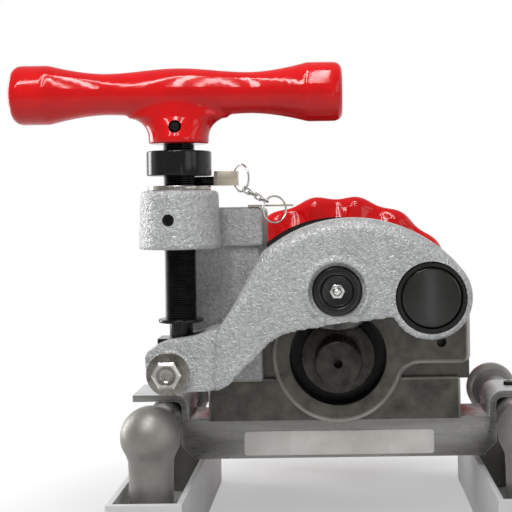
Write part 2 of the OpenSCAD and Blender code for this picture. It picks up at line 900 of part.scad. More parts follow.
module grease_nipple() {
  nipple_base = arm_front + bore_depth;
  nipple_ball = 6;
  color("silver")
    translate([0, nipple_base, roll_z])
      rotate([90, 0, 0]) {
        hex(9, 3.5);
        translate([0, 0, -nipple_ball])
          cylinder(d = grease_d - 2 * slip_clear, h = nipple_ball + eps);
        cylinder(d = grease_d, h = nipple_ball - 0.5);
        translate([0, 0, nipple_ball])
          sphere(d = nipple_ball);
      }
}

module shaft_set_screw() {
  color("dimgray")
    translate([0, set_y, roll_z + roll_shaft_d / 2 - set_depth])
      difference() {
        cylinder(d = set_d, h = set_len);
        translate([0, 0, set_len - socket_depth])
          hex(set_d / 2, socket_depth + eps);
      }
}

module retainer_bolt() {
  color("silver")
    translate([bolt_x, arm_front - washer_t, bolt_z])
      rotate([90, 0, 0])
        rotate(12) {
          intersection() {
            hex(bolt_head_af, bolt_head_h);
            cylinder(d1 = bolt_head_af * 1.4, d2 = bolt_head_af * 1.02, h = bolt_head_h);
          }
          translate([0, 0, -arm_t - washer_t])
            cylinder(d = bolt_d, h = arm_t + washer_t + eps);
        }
}

module retainer_washer() {
  color("gray")
    difference() {
      bar_y(bolt_x, bolt_z, arm_front - washer_t, arm_front, washer_d);
      bar_y(bolt_x, bolt_z, arm_front - washer_t - eps, arm_front + eps, bolt_d + 2 * slip_clear);
    }
}

// Grooving roll and its bush

module groove_roll() {
  y0 = roll_mid - groove_roll_w / 2;
  y1 = roll_mid + groove_roll_w / 2;
  color("gray")
    difference() {
      union() {
        bar_y(0, roll_z, y0, y1, groove_roll_d - 2 * ridge_h);
        bar_y(0, roll_z, roll_mid - ridge_w / 2, roll_mid + ridge_w / 2, groove_roll_d);
      }
      bar_y(0, roll_z, y0 - eps, y1 + eps, roll_shaft_d + 2 * roll_bush_wall);
    }
}

module roll_bush() {
  y0 = roll_mid - groove_roll_w / 2;
  y1 = roll_mid + groove_roll_w / 2;
  color("darkgoldenrod")
    difference() {
      bar_y(0, roll_z, y0, y1, roll_shaft_d + 2 * roll_bush_wall);
      bar_y(0, roll_z, y0 - eps, y1 + eps, roll_shaft_d + 2 * run_clear);
    }
}

// Feed screw with its pad, ring, handle and depth collar

module swivel_block() {
  color("dimgray")
    difference() {
      block([block_left, screw_y - block_half, block_bottom],
        [block_right, screw_y + block_half, block_top]);
      bar_y(bolt_x, bolt_z, screw_y - block_half - eps, screw_y + block_half + eps, bolt_d + 2 * part_gap);
      block([block_left - eps, screw_y - block_half - eps, bolt_z - bolt_d / 2 - part_gap],
        [bolt_x, screw_y + block_half + eps, bolt_z + bolt_d / 2 + part_gap]);
      translate([-screw_x, screw_y, neck_bottom - slip_clear])
        cylinder(d = neck_d + 2 * run_clear, h = neck_depth + 1);
    }
}

// The thread is a row of ridges of the screw's own lead
module thread(z0, z1) {
  ridge = 0.6 * screw_pitch;
  turns = floor((z1 - z0) / screw_pitch);
  rotate_extrude()
    polygon(concat(
      [[0, z0], [screw_d / 2 - ridge, z0]],
      [for (i = [0 : turns - 1]) each [
        [screw_d / 2 - ridge, z0 + i * screw_pitch],
        [screw_d / 2, z0 + (i + 0.45) * screw_pitch],
        [screw_d / 2, z0 + (i + 0.55) * screw_pitch]]],
      [[screw_d / 2 - ridge, z0 + turns * screw_pitch], [screw_d / 2 - ridge, z1], [0, z1]]
    ));
}

module feed_screw() {
  color([0.1, 0.1, 0.1])
    translate([-screw_x, screw_y, 0]) {
      thread(thrust_z + thrust_t, handle_bottom);
      translate([0, 0, handle_bottom - eps])
        cylinder(d = tang_d, h = handle_socket);
      translate([0, 0, neck_bottom])
        cylinder(d = neck_d, h = thrust_z + thrust_t - neck_bottom + eps);
    }
}

module thrust_ring() {
  color("black")
    translate([-screw_x, screw_y, thrust_z])
      difference() {
        cylinder(d = thrust_d, h = thrust_t);
        translate([0, 0, -eps])
          cylinder(d = neck_d + 2 * run_clear, h = thrust_t + 2 * eps);
      }
}

// Radius of the handle bar at a distance from its middle, from 0 at the middle to 1 at the end
function bar_radius(t) =
  handle_mid_d / 2 + (handle_end_d - handle_mid_d) / 2 * pow(sin(90 * max(0, (t - 0.2) / 0.8)), 2);

module t_handle() {
  half = handle_len / 2;
  end_round = 7;
  stem_r = handle_stem_d / 2;
  stem_edge = 2;
  color("red")
    translate([-screw_x, screw_y, 0])
      difference() {
        union() {
          translate([-half, 0, handle_z])
            rotate([0, 90, 0])
              rotate_extrude()
                polygon(concat(
                  [[0, 0]],
                  [for (a = [0 : 22.5 : 90])
                    [handle_end_d / 2 - end_round + end_round * sin(a), end_round - end_round * cos(a)]],
                  [for (i = [-11 : 11])
                    [bar_radius(abs(i / 12) * (1 - end_round / half)), half + i / 12 * (half - end_round)]],
                  [for (a = [0 : 22.5 : 90])
                    [handle_end_d / 2 - end_round + end_round * cos(a),
                      handle_len - end_round + end_round * sin(a)]],
                  [[0, handle_len]]
                ));
          translate([0, 0, handle_bottom])
            rotate_extrude()
              polygon([[0, 0], [stem_r - stem_edge, 0], [stem_r, stem_edge], [stem_r, stem_band],
                [stem_r - stem_edge, stem_band + 5], [handle_mid_d / 2, handle_rise], [0, handle_rise]]);
        }
        translate([0, 0, handle_bottom - eps])
          cylinder(d = tang_d + 2 * run_clear, h = handle_socket + part_gap);
        bar_y(0, pin_z, -handle_stem_d, handle_stem_d, pin_d);
      }
}

module handle_pin() {
  side = handle_stem_d / 2 - pin_set;
  color("black") {
    translate([-screw_x, screw_y, 0]) {
      bar_y(0, pin_z, -side, -tang_d / 2 - slip_clear, pin_d - 2 * slip_clear);
      bar_y(0, pin_z, tang_d / 2 + slip_clear, side, pin_d - 2 * slip_clear);
    }
  }
}

module depth_collar() {
  edge = 1.2;
  r = collar_d / 2;
  color([0.08, 0.08, 0.08])
    translate([-screw_x, screw_y, collar_bottom])
      difference() {
        rotate_extrude()
          polygon([[screw_d / 2 + run_clear, 0], [r - edge / 2, 0], [r, edge / 2],
            [r, collar_h - edge], [r - edge, collar_h], [screw_d / 2 + run_clear, collar_h]]);
        translate([0, 0, collar_h / 2])
          rotate([0, 90, 0])
            cylinder(d = collar_screw_d, h = collar_d);
      }
}

module collar_set_screw() {
  color("dimgray")
    translate([-screw_x + screw_d / 2 + slip_clear * 2, screw_y, collar_bottom + collar_h / 2])
      rotate([0, 90, 0])
        difference() {
          cylinder(d = collar_screw_d - 2 * slip_clear, h = collar_screw_len);
          translate([0, 0, collar_screw_len - socket_depth])
            hex(collar_screw_d / 2, socket_depth + eps);
        }
}

// Depth gauges on their chain

module depth_gauge() {
  color("tan")
    difference() {
      union() {
        block([gauge_left, gauge_front, gauge_z], [gauge_right, gauge_front + gauge_w, gauge_z + gauge_t]);
        block([gauge_end_left, gauge_front, gauge_z], [gauge_right, gauge_front + gauge_w, gauge_z + gauge_end_h]);
      }
      translate([ring_hole[0], ring_hole[1], gauge_z - eps])
        cylinder(d = ring_hole_d, h = gauge_end_h + 2 * eps);
    }
}

// A wire ring in the XZ plane round a middle point
module wire_ring(r) {
  rotate([90, 0, 0])
    rotate_extrude()
      translate([r, 0])
        circle(d = wire_d, $fn = 24);
}

module gauge_ring() {
  color("silver")
    translate(ring_mid)
      rotate([0, 0, ring_turn])
        wire_ring(ring_r);
}

module key_ring() {
  color("silver")
    translate(key_mid)
      rotate([0, 0, key_turn])
        wire_ring(key_ring_r);
}

module gauge_plate() {
  color("silver")
    difference() {
      block([plate_right - plate_len, plate_front, plate_z],
        [plate_right, plate_front + plate_w, plate_z + plate_t]);
      translate([key_hole[0], key_hole[1], plate_z - eps])
        cylinder(d = key_hole_d, h = plate_t + 2 * eps);
    }
}

// One link along X, whose end wires hold their neighbours at 0 and at its step
module chain_link() {
  straight = chain_step + 2 * link_reach - 2 * link_half_w;
  translate([link_half_w - link_reach, 0, 0]) {
    for (side = [-1, 1])
      translate([0, side * link_half_w, 0])
        rotate([0, 90, 0])
          cylinder(d = wire_d, h = straight, $fn = 24);
    rotate(90)
      rotate_extrude(angle = 180)
        translate([link_half_w, 0])
          circle(d = wire_d, $fn = 24);
    translate([straight, 0, 0])
      rotate(-90)
        rotate_extrude(angle = 180)
          translate([link_half_w, 0])
            circle(d = wire_d, $fn = 24);
  }
}

module gauge_chain() {
  yaw = atan2(chain_way[1], chain_way[0]);
  dip = -asin(chain_way[2]);
  color("silver")
    for (i = [0 : link_count - 1])
      translate(chain_start + i * chain_step * chain_way)
        rotate([0, dip, yaw])
          rotate([i % 2 == 0 ? 90 : 0, 0, 0])
            chain_link();
}

base_channel_left();
base_channel_right();
post_front_left();
post_front_right();
post_rear_left();
post_rear_right();
side_rail_left();
side_rail_right();
crossbar();
label_plate();
base_bolts();
hook_screws();
body_casting();
screw_bracket();
bracket_bolts();
screw_bush();
bush_grub_screw();
front_bearing();
rear_bearing();
shaft_seal();
pivot_pin();
pivot_lock_screw();
drive_shaft();
drive_roll();
hand_wheel();
wheel_key();
wheel_nut();
arm();
pivot_bush();
roll_shaft();
grease_nipple();
shaft_set_screw();
retainer_bolt();
retainer_washer();
groove_roll();
roll_bush();
swivel_block();
feed_screw();
thrust_ring();
t_handle();
handle_pin();
depth_collar();
collar_set_screw();
depth_gauge();
gauge_ring();
gauge_chain();
key_ring();
gauge_plate();
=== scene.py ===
import math

import bmesh
import bpy
from mathutils import Matrix, Vector


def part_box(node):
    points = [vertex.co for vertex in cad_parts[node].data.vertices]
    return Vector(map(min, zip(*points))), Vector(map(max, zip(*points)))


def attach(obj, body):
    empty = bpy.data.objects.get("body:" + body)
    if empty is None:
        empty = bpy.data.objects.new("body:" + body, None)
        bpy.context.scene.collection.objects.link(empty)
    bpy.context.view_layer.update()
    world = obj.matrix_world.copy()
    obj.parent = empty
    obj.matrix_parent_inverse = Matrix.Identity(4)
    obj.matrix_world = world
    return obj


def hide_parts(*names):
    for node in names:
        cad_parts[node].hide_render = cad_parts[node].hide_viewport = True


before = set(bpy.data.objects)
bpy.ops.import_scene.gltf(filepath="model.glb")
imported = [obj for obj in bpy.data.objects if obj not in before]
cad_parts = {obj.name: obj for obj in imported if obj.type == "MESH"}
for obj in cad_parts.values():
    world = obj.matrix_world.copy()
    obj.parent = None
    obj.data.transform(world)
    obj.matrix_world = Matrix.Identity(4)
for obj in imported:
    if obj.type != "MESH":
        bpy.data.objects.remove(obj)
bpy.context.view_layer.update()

mm = 0.001
scene = bpy.context.scene
scene.view_settings.view_transform = "Standard"
alongX, alongY, alongZ = Vector((1, 0, 0)), Vector((0, 1, 0)), Vector((0, 0, 1))


# Places, all in millimetres in the shared frame

def cadBox(node):
    low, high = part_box(node)
    return low / mm, high / mm


def middle(node):
    low, high = cadBox(node)
    return (low + high) / 2


driveAxis = middle("drive_roll")
rollAxis = middle("groove_roll")
pivotAxis = middle("pivot_bush")
screwAxis = middle("feed_screw")
armLow, armHigh = cadBox("arm")


def atDepth(axis, y):  # a point on an axis that runs along Y
    return axis.x, y, axis.z


def atHeight(z):  # a point on the screw's axis
    return screwAxis.x, screwAxis.y, z


print("frame read,", len(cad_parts), "nodes")


# Mesh helpers

merging = {"made": 0.002, "copied": 0.01, "flat": 0.2}  # gaps that are closed, and degrees taken as flat
through = (-2, 60)  # a bore's tool starts ahead of the face and ends behind the piece
near = 0.01  # how far a point may lie from a plane that it belongs to


def spot(x, y, z):
    return Vector((x, y, z)) * mm


def everything(bm):
    return bm.verts[:] + bm.edges[:] + bm.faces[:]


def ends(edge):
    return [vert.co / mm for vert in edge.verts]


def closeUp(bm):
    bmesh.ops.remove_doubles(bm, verts=bm.verts, dist=merging["made"] * mm)
    bmesh.ops.recalc_face_normals(bm, faces=bm.faces)
    return bm


def toPiece(bm, name):
    mesh = bpy.data.meshes.new(name)
    bm.to_mesh(mesh)
    bm.free()
    piece = bpy.data.objects.new(name, mesh)
    scene.collection.objects.link(piece)
    return piece


def roundCorners(bm, verts, rounds, segments):
    for vert, width in zip(verts, rounds):
        if width > 0:
            bmesh.ops.bevel(bm, geom=[vert], offset=width * mm, offset_type="OFFSET", segments=segments,
                            profile=0.5, affect="VERTICES", material=-1)


# A turned shape: rows of (place along the axis, radius, corner rounding)
def turned(rows, centre, axis, steps=96, segments=4):
    bm = bmesh.new()
    side = alongZ if abs(axis.x) > 0.5 else alongX
    base = Vector(centre) * mm
    verts = [bm.verts.new(base + (axis * row[0] + side * row[1]) * mm) for row in rows]
    for first, second in zip(verts, verts[1:]):
        bm.edges.new((first, second))
    roundCorners(bm, verts, [row[2] for row in rows], segments)
    bmesh.ops.spin(bm, geom=bm.verts[:] + bm.edges[:], cent=base, axis=axis, dvec=(0, 0, 0),
                   angle=2 * math.pi, steps=steps, use_merge=True)
    return closeUp(bm)


# A plain round bar between two places along the axis, with a rounding at each end
def rod(start, end, radius, centre, axis, steps=96, rounds=(0, 0), segments=4):
    rows = [(start, 0, 0), (start, radius, rounds[0]), (end, radius, rounds[1]), (end, 0, 0)]
    return turned(rows, centre, axis, steps, segments)


# A flat outline of (x, z, corner rounding), drawn out from front to back along Y
def drawnOut(outline, front, back, segments=6):
    bm = bmesh.new()
    verts = [bm.verts.new(spot(x, front, z)) for x, z, _ in outline]
    bm.faces.new(verts)
    roundCorners(bm, verts, [row[2] for row in outline], segments)
    made = bmesh.ops.extrude_face_region(bm, geom=bm.faces[:])
    moved = [item for item in made["geom"] if isinstance(item, bmesh.types.BMVert)]
    bmesh.ops.translate(bm, verts=moved, vec=alongY * (back - front) * mm)
    return closeUp(bm)


def arc(x, z, radius, start, end, count):
    turn = [math.radians(start + (end - start) * step / count) for step in range(count + 1)]
    return [(x + radius * math.cos(a), z + radius * math.sin(a), 0) for a in turn]


def block(low, high):
    bm = bmesh.new()
    size = Vector(high) - Vector(low)
    bmesh.ops.create_cube(bm, size=1, matrix=Matrix.Translation((Vector(low) + size / 2) * mm)
                          @ Matrix.Diagonal((*(size * mm), 1)))
    return bm


def softEdges(bm, width, segments=3, least=30, chosen=lambda edge: True, clamp=True):
    sharp = [edge for edge in bm.edges if len(edge.link_faces) == 2
             and edge.calc_face_angle(0) > math.radians(least) and chosen(edge)]
    bmesh.ops.bevel(bm, geom=sharp, offset=width * mm, offset_type="OFFSET", segments=segments,
                    profile=0.5, affect="EDGES", material=-1, clamp_overlap=clamp)
    return bm


# A merged copy of a CAD node's mesh, with its sharp edges taken off
def cadCopy(node, width=0, segments=2, least=30):
    bm = bmesh.new()
    bm.from_mesh(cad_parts[node].data)
    bmesh.ops.remove_doubles(bm, verts=bm.verts, dist=merging["copied"] * mm)
    bmesh.ops.dissolve_limit(bm, angle_limit=math.radians(merging["flat"]), verts=bm.verts, edges=bm.edges)
    if width:
        softEdges(bm, width, segments, least)
    return bm


# The modifiers' result becomes the mesh
def settle(piece):
    graph = bpy.context.evaluated_depsgraph_get()
    mesh = bpy.data.meshes.new_from_object(piece.evaluated_get(graph))
    old = piece.data
    piece.modifiers.clear()
    piece.data = mesh
    bpy.data.meshes.remove(old)
    return piece


def carve(piece, tools, operation="DIFFERENCE"):
    for bm in tools:
        tool = toPiece(bm, "tool")
        step = piece.modifiers.new("carve", "BOOLEAN")
        step.operation = operation
        step.solver = "EXACT"
        step.object = tool
        settle(piece)
        spare = tool.data
        bpy.data.objects.remove(tool)
        bpy.data.meshes.remove(spare)
    return piece


def join(piece, parts):
    return carve(piece, parts, "UNION")


# What lies below a height is cut away and the cut closed
def cutBelow(bm, height):
    cut = bmesh.ops.bisect_plane(bm, geom=everything(bm), plane_co=spot(0, 0, height), plane_no=alongZ,
                                 clear_inner=True)
    rim = [item for item in cut["geom_cut"] if isinstance(item, bmesh.types.BMEdge)]
    bmesh.ops.holes_fill(bm, edges=rim, sides=0)
    return closeUp(bm)


# More closed shells in the same mesh
def addShells(piece, parts):
    bm = bmesh.new()
    bm.from_mesh(piece.data)
    for part in parts:
        spare = bpy.data.meshes.new("spare")
        part.to_mesh(spare)
        part.free()
        bm.from_mesh(spare)
        bpy.data.meshes.remove(spare)
    bm.to_mesh(piece.data)
    bm.free()
    return piece


# A cast skin: evened out in small cells, then eased, so that inner corners fill
def castSkin(piece, cell, passes):
    skin = piece.modifiers.new("skin", "REMESH")
    skin.mode = "VOXEL"
    skin.voxel_size = cell * mm
    ease = piece.modifiers.new("ease", "SMOOTH")
    ease.factor = 0.5
    ease.iterations = passes
    return settle(piece)


# The finish, the body and the nodes of a piece; each further finish goes on the faces that its test picks
def dress(piece, material, body, nodes, crease=35, further=()):
    mesh = piece.data
    mesh.materials.clear()
    mesh.materials.append(material)
    for index, (finish, chosen) in enumerate(further, 1):
        mesh.materials.append(finish)
        for face in mesh.polygons:
            if chosen(face.center / mm):
                face.material_index = index
    mesh.shade_smooth()
    mesh.set_sharp_from_angle(angle=math.radians(crease))
    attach(piece, body)
    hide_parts(*nodes)
    return piece


# Material helpers

noiseLow, noiseHigh = 0.3, 0.7  # the stretch that a noise mostly stays in


def newMaterial(name):
    material = bpy.data.materials.new(name)
    material.use_nodes = True
    tree = material.node_tree
    return material, tree, tree.nodes["Principled BSDF"]


def addNode(tree, kind, **settings):
    node = tree.nodes.new(kind)
    for key, value in settings.items():
        if key in node.inputs:
            node.inputs[key].default_value = value
        else:
            setattr(node, key, value)
    return node


def objectPlace(tree, stretch=(1, 1, 1), centre=(0, 0, 0)):
    place = tree.nodes.new("ShaderNodeTexCoord")
    mapping = tree.nodes.new("ShaderNodeMapping")
    mapping.inputs["Scale"].default_value = stretch
    mapping.inputs["Location"].default_value = [-part * grow for part, grow in zip(centre, stretch)]
    tree.links.new(place.outputs["Object"], mapping.inputs["Vector"])
    return mapping.outputs["Vector"]


def grain(tree, vector, size, detail=3, roughness=0.55, distortion=0):
    noise = addNode(tree, "ShaderNodeTexNoise", Scale=1 / (size * mm), Detail=detail, Roughness=roughness,
                    Distortion=distortion)
    tree.links.new(vector, noise.inputs["Vector"])
    return noise.outputs["Fac"]


def tones(tree, value, stops):
    ramp = tree.nodes.new("ShaderNodeValToRGB")
    ramp.color_ramp.elements[0].position = stops[0][0]
    ramp.color_ramp.elements[0].color = (*stops[0][1], 1)
    ramp.color_ramp.elements[1].position = stops[-1][0]
    ramp.color_ramp.elements[1].color = (*stops[-1][1], 1)
    for place, colour in stops[1:-1]:
        ramp.color_ramp.elements.new(place).color = (*colour, 1)
    tree.links.new(value, ramp.inputs["Fac"])
    return ramp.outputs["Color"]


def span(tree, value, low, high, fromLow=noiseLow, fromHigh=noiseHigh):
    spread = addNode(tree, "ShaderNodeMapRange")
    for key, number in (("From Min", fromLow), ("From Max", fromHigh), ("To Min", low), ("To Max", high)):
        spread.inputs[key].default_value = number
    tree.links.new(value, spread.inputs["Value"])
    return spread.outputs["Result"]


def relief(tree, shader, height, depth, strength):
    bump = addNode(tree, "ShaderNodeBump", Strength=strength, Distance=depth * mm)
    tree.links.new(height, bump.inputs["Height"])
    tree.links.new(bump.outputs["Normal"], shader.inputs["Normal"])


# A plain finish with two noises: a broad one for tone and a fine one for roughness and relief
def plainFinish(name, dark, light, broad, fine, rough, depth, metal, specular=0.5, stretch=(1, 1, 1)):
    material, tree, shader = newMaterial(name)
    vector = objectPlace(tree, stretch)
    broadNoise = grain(tree, vector, broad, 4)
    fineNoise = grain(tree, vector, fine)
    colour = tones(tree, broadNoise, [(noiseLow, dark), (noiseHigh, light)])
    tree.links.new(colour, shader.inputs["Base Color"])
    tree.links.new(span(tree, fineNoise, *rough), shader.inputs["Roughness"])
    relief(tree, shader, fineNoise, depth, 0.6)
    shader.inputs["Metallic"].default_value = metal
    shader.inputs["Specular IOR Level"].default_value = specular
    return material


# Hammered paint: short worms of paint that catch the light, hardly darker in between; the colour follows the
# worms' relief, painted shade in the hollows and a painted highlight on the crests, with a broad random tone
# mixed in
hammerLook = {"worm": 2.2, "wormDetail": 1.5, "wormRough": 0.45, "twist": 1.0, "wander": 16,
              "wanderShare": 0.3, "hollow": (0.35, 0.355, 0.355), "face": (0.44, 0.445, 0.445),
              "crest": (0.53, 0.535, 0.535), "stops": (0.45, 0.64, 0.84), "relief": 1.35,
              "rough": (0.28, 0.40), "metal": 0.2}


def hammeredPaint(look):
    material, tree, shader = newMaterial("hammeredGrey")
    vector = objectPlace(tree)
    worm = grain(tree, vector, look["worm"], look["wormDetail"], look["wormRough"], look["twist"])
    broad = grain(tree, vector, look["wander"])
    mixed = addNode(tree, "ShaderNodeMath", operation="MULTIPLY_ADD")
    mixed.inputs[1].default_value = look["wanderShare"]
    tree.links.new(broad, mixed.inputs[0])
    tree.links.new(worm, mixed.inputs[2])
    # hollow, face and crest colours ride on the relief's own height: painted shade and painted highlight
    stops = list(zip(look["stops"], (look["hollow"], look["face"], look["crest"])))
    tree.links.new(tones(tree, mixed.outputs["Value"], stops), shader.inputs["Base Color"])
    tree.links.new(span(tree, worm, *look["rough"]), shader.inputs["Roughness"])
    relief(tree, shader, worm, look["relief"], 1.0)
    shader.inputs["Metallic"].default_value = look["metal"]
    return material


# Machined casting: dark satin, with a painted highlight in pale colour on the rounded edges round its front,
# in place of the light that those edges reflect from below
castLook = {"dark": (0.052, 0.048, 0.041), "light": (0.14, 0.129, 0.109), "edge": (0.46, 0.44, 0.40),
            "highlightDim": 0.8, "stain": 14, "stainRough": 0.6, "stainTwist": 0.4, "stainStops": (0.32, 0.72),
            "scratch": 0.8, "scratchStretch": (0.08, 1, 1), "relief": 0.04, "rough": (0.28, 0.46),
            "frontTo": 0.03, "highlightFrom": 0.15, "highlightTo": 0.80, "sideFrom": 0.96,  # by how far a face turns
            "metal": 0.55}


def machinedCasting(look):
    material, tree, shader = newMaterial("machinedCasting")
    stain = grain(tree, objectPlace(tree), look["stain"], 5, look["stainRough"], look["stainTwist"])
    scratch = grain(tree, objectPlace(tree, look["scratchStretch"]), look["scratch"])
    front = tones(tree, stain, list(zip(look["stainStops"], (look["dark"], look["light"]))))
    # the pale edge colour is a painted highlight; its dimmer end follows the stain noise
    dimHighlight = [part * look["highlightDim"] for part in look["edge"]]
    edge = tones(tree, stain, [(noiseLow, dimHighlight), (noiseHigh, look["edge"])])
    normal = tree.nodes.new("ShaderNodeTexCoord").outputs["Normal"]
    split = tree.nodes.new("ShaderNodeSeparateXYZ")
    tree.links.new(normal, split.inputs["Vector"])
    turn = span(tree, split.outputs["Y"], 0, 1, -1, 0)
    # faces turned part way, the rounded edges, take the painted highlight; front and side faces keep the
    # casting's own colour
    facing = tones(tree, turn, [(look["frontTo"], (1, 1, 1)), (look["highlightFrom"], (0, 0, 0)),
                                (look["highlightTo"], (0, 0, 0)), (look["sideFrom"], (1, 1, 1))])
    blend = addNode(tree, "ShaderNodeMix", data_type="RGBA")
    tree.links.new(facing, blend.inputs["Factor"])
    tree.links.new(edge, blend.inputs[6])
    tree.links.new(front, blend.inputs[7])
    tree.links.new(blend.outputs[2], shader.inputs["Base Color"])
    tree.links.new(span(tree, scratch, *look["rough"]), shader.inputs["Roughness"])
    relief(tree, shader, scratch, look["relief"], 0.5)
    shader.inputs["Metallic"].default_value = look["metal"]
    return material


# Turned steel: fine rings round an axis along Y
steelLook = {"ringStep": 0.9, "wave": 6.28, "waver": 1.2, "stain": 9, "stainStops": (0.3, 0.72),
             "rough": (0.24, 0.42), "metal": 0.8, "relief": 0.014}
blackLook = {**steelLook, "ringStep": 0.7, "rough": (0.12, 0.24), "metal": 0, "relief": 0.006}


def turnedSteel(name, centre, dark, light, look):
    material, tree, shader = newMaterial(name)
    rings = addNode(tree, "ShaderNodeTexWave", wave_type="RINGS", rings_direction="Y",
                    Scale=1 / (look["ringStep"] * mm) / look["wave"], Distortion=look["waver"], Detail=3)
    tree.links.new(objectPlace(tree, (1, 1, 1), centre * mm), rings.inputs["Vector"])
    stain = grain(tree, objectPlace(tree), look["stain"], 4)
    colour = tones(tree, stain, list(zip(look["stainStops"], (dark, light))))
    tree.links.new(colour, shader.inputs["Base Color"])
    tree.links.new(span(tree, rings.outputs["Fac"], *look["rough"], 0, 1), shader.inputs["Roughness"])
    relief(tree, shader, rings.outputs["Fac"], look["relief"], 0.6)
    shader.inputs["Metallic"].default_value = look["metal"]
    return material


hammered = hammeredPaint(hammerLook)
casting = machinedCasting(castLook)
redPaint = plainFinish("glossRed", dark=(0.58, 0.002, 0.003), light=(0.74, 0.004, 0.005),
                       broad=30, fine=8, rough=(0.07, 0.12), depth=0.05, metal=0, specular=0.36)
blackSteel = plainFinish("blackOxide", dark=(0.004, 0.004, 0.005), light=(0.011, 0.011, 0.010),
                         broad=7, fine=0.9, rough=(0.10, 0.18), depth=0.004, metal=0, specular=0.3)
darkCast = plainFinish("darkCast", dark=(0.055, 0.055, 0.053), light=(0.095, 0.095, 0.09),
                       broad=12, fine=1.0, rough=(0.34, 0.5), depth=0.06, metal=0.2)
zinc = plainFinish("zincPlate", dark=(0.44, 0.42, 0.38), light=(0.66, 0.65, 0.62),
                   broad=6, fine=0.8, rough=(0.2, 0.36), depth=0.006, metal=1)
darkZinc = plainFinish("darkZinc", dark=(0.13, 0.12, 0.105), light=(0.30, 0.285, 0.26),
                       broad=6, fine=0.8, rough=(0.2, 0.34), depth=0.006, metal=0.95)
bright = plainFinish("brightSteel", dark=(0.62, 0.61, 0.58), light=(0.78, 0.77, 0.75),
                     broad=5, fine=0.6, rough=(0.14, 0.26), depth=0.006, metal=1)
nickel = plainFinish("nickelWire", dark=(0.55, 0.54, 0.50), light=(0.75, 0.74, 0.71),
                     broad=4, fine=0.5, rough=(0.12, 0.24), depth=0.01, metal=1)
gaugeSteel = plainFinish("groundGauge", dark=(0.45, 0.40, 0.31), light=(0.62, 0.56, 0.46),
                         broad=6, fine=0.5, rough=(0.3, 0.44), depth=0.02, metal=0.7, stretch=(0.15, 1, 1))
brushedBar = plainFinish("brushedBar", dark=(0.20, 0.195, 0.182), light=(0.36, 0.355, 0.34),
                         broad=12, fine=0.9, rough=(0.24, 0.40), depth=0.02, metal=0.7, stretch=(0.12, 1, 1))
railSteel = plainFinish("drawnRail", dark=(0.30, 0.30, 0.29), light=(0.46, 0.455, 0.44),
                        broad=10, fine=0.6, rough=(0.26, 0.4), depth=0.03, metal=0.9, stretch=(1, 0.1, 1))
castPost = plainFinish("castPost", dark=(0.22, 0.208, 0.19), light=(0.28, 0.268, 0.248),
                       broad=16, fine=1.1, rough=(0.38, 0.5), depth=0.08, metal=0.5)
channelPaint = plainFinish("channelPaint", dark=(0.55, 0.555, 0.55), light=(0.64, 0.645, 0.64),
                           broad=40, fine=1.6, rough=(0.34, 0.5), depth=0.06, metal=0)
labelFilm = plainFinish("labelFilm", dark=(0.62, 0.60, 0.55), light=(0.80, 0.79, 0.75),
                        broad=18, fine=2, rough=(0.35, 0.5), depth=0.02, metal=0)
# near-black painted shade for the pivot bush and the body's recess round the drive shaft, which lie in
# shadow
paintedShadeBlack = plainFinish("paintedShadeBlack", dark=(0.004, 0.004, 0.003), light=(0.012, 0.010, 0.008),
                        broad=5, fine=0.7, rough=(0.25, 0.4), depth=0.01, metal=0, specular=0.3)
bushSteel = plainFinish("bushSteel", dark=(0.27, 0.25, 0.22), light=(0.48, 0.46, 0.43),
                        broad=7, fine=0.8, rough=(0.18, 0.3), depth=0.02, metal=1)
bronze = plainFinish("oiledBronze", dark=(0.30, 0.19, 0.07), light=(0.48, 0.32, 0.13),
                     broad=6, fine=0.7, rough=(0.28, 0.42), depth=0.02, metal=0.9)
rubber = plainFinish("sealRubber", dark=(0.012, 0.012, 0.012), light=(0.022, 0.022, 0.021),
                     broad=6, fine=0.8, rough=(0.55, 0.75), depth=0.04, metal=0)
driveSteel = turnedSteel("driveSteel", driveAxis, (0.018, 0.016, 0.014), (0.065, 0.058, 0.050), steelLook)
rollSteel = turnedSteel("rollSteel", rollAxis, (0.05, 0.048, 0.044), (0.14, 0.135, 0.125), steelLook)
pinBlack = turnedSteel("pinBlack", pivotAxis, (0.006, 0.006, 0.005), (0.014, 0.013, 0.011), blackLook)
shaftBlack = turnedSteel("shaftBlack", rollAxis, (0.005, 0.005, 0.005), (0.012, 0.011, 0.010),
                         {**blackLook, "rough": (0.12, 0.22)})
print("materials made")


# Arm: a crowned lever with a broad round along its top edge, and a lug that sits a little further back

arm = {
    "crown": (10.7, 134.25, 95.5), "crownFrom": 130, "crownTo": 38, "endRadius": 28.5, "endTo": -154.7,
    "belly": [(-40, 153.6, 14), (-77, 116, 4), (-84, 114.2, 3)],
    "slope": [(-82.5, 151, 3), (-79, 159, 5), (-71, 170.5, 12)], "cell": 1.1, "ease": 3,
    "lug": [(-80, 118, 0), (-80, 156, 0), (-88, 155.4, 6), (-96, 151.4, 8), (-124, 148, 12),
            (-130.5, 139, 9)],
    "lugEnd": (-114.5, 127.5, 15.2), "lugFoot": (-84, 114.5, 0), "lugSetBack": 3, "lugRound": 3.2,
    "lugLip": 5, "bolt": (-114, 127), "boltHole": 6.2, "pad": 13.4, "padDepth": 8, "padEdge": 0.6,
    "lipMid": 21.6, "lipHalf": 2.3, "lipProud": 1.5, "lipSunk": 3, "lipEdge": 1, "lipFoot": 165,
    "bore": 19.5, "boreFrom": -62, "boreTo": 242, "boreAhead": 4, "boreDepth": 5, "shaftHole": 17.1,
    "reliefHalf": 8, "reliefFoot": 150, "slotRadius": 32, "slotFrom": 11, "slotTo": 35,
    "pivotMouth": 25.2, "pivotNeck": (1.5, 24), "pivotBore": 23.6,
    "pocketGap": (0.5, 0.5, 3.5), "pocketSide": 6.5, "pocketTop": 170,
}

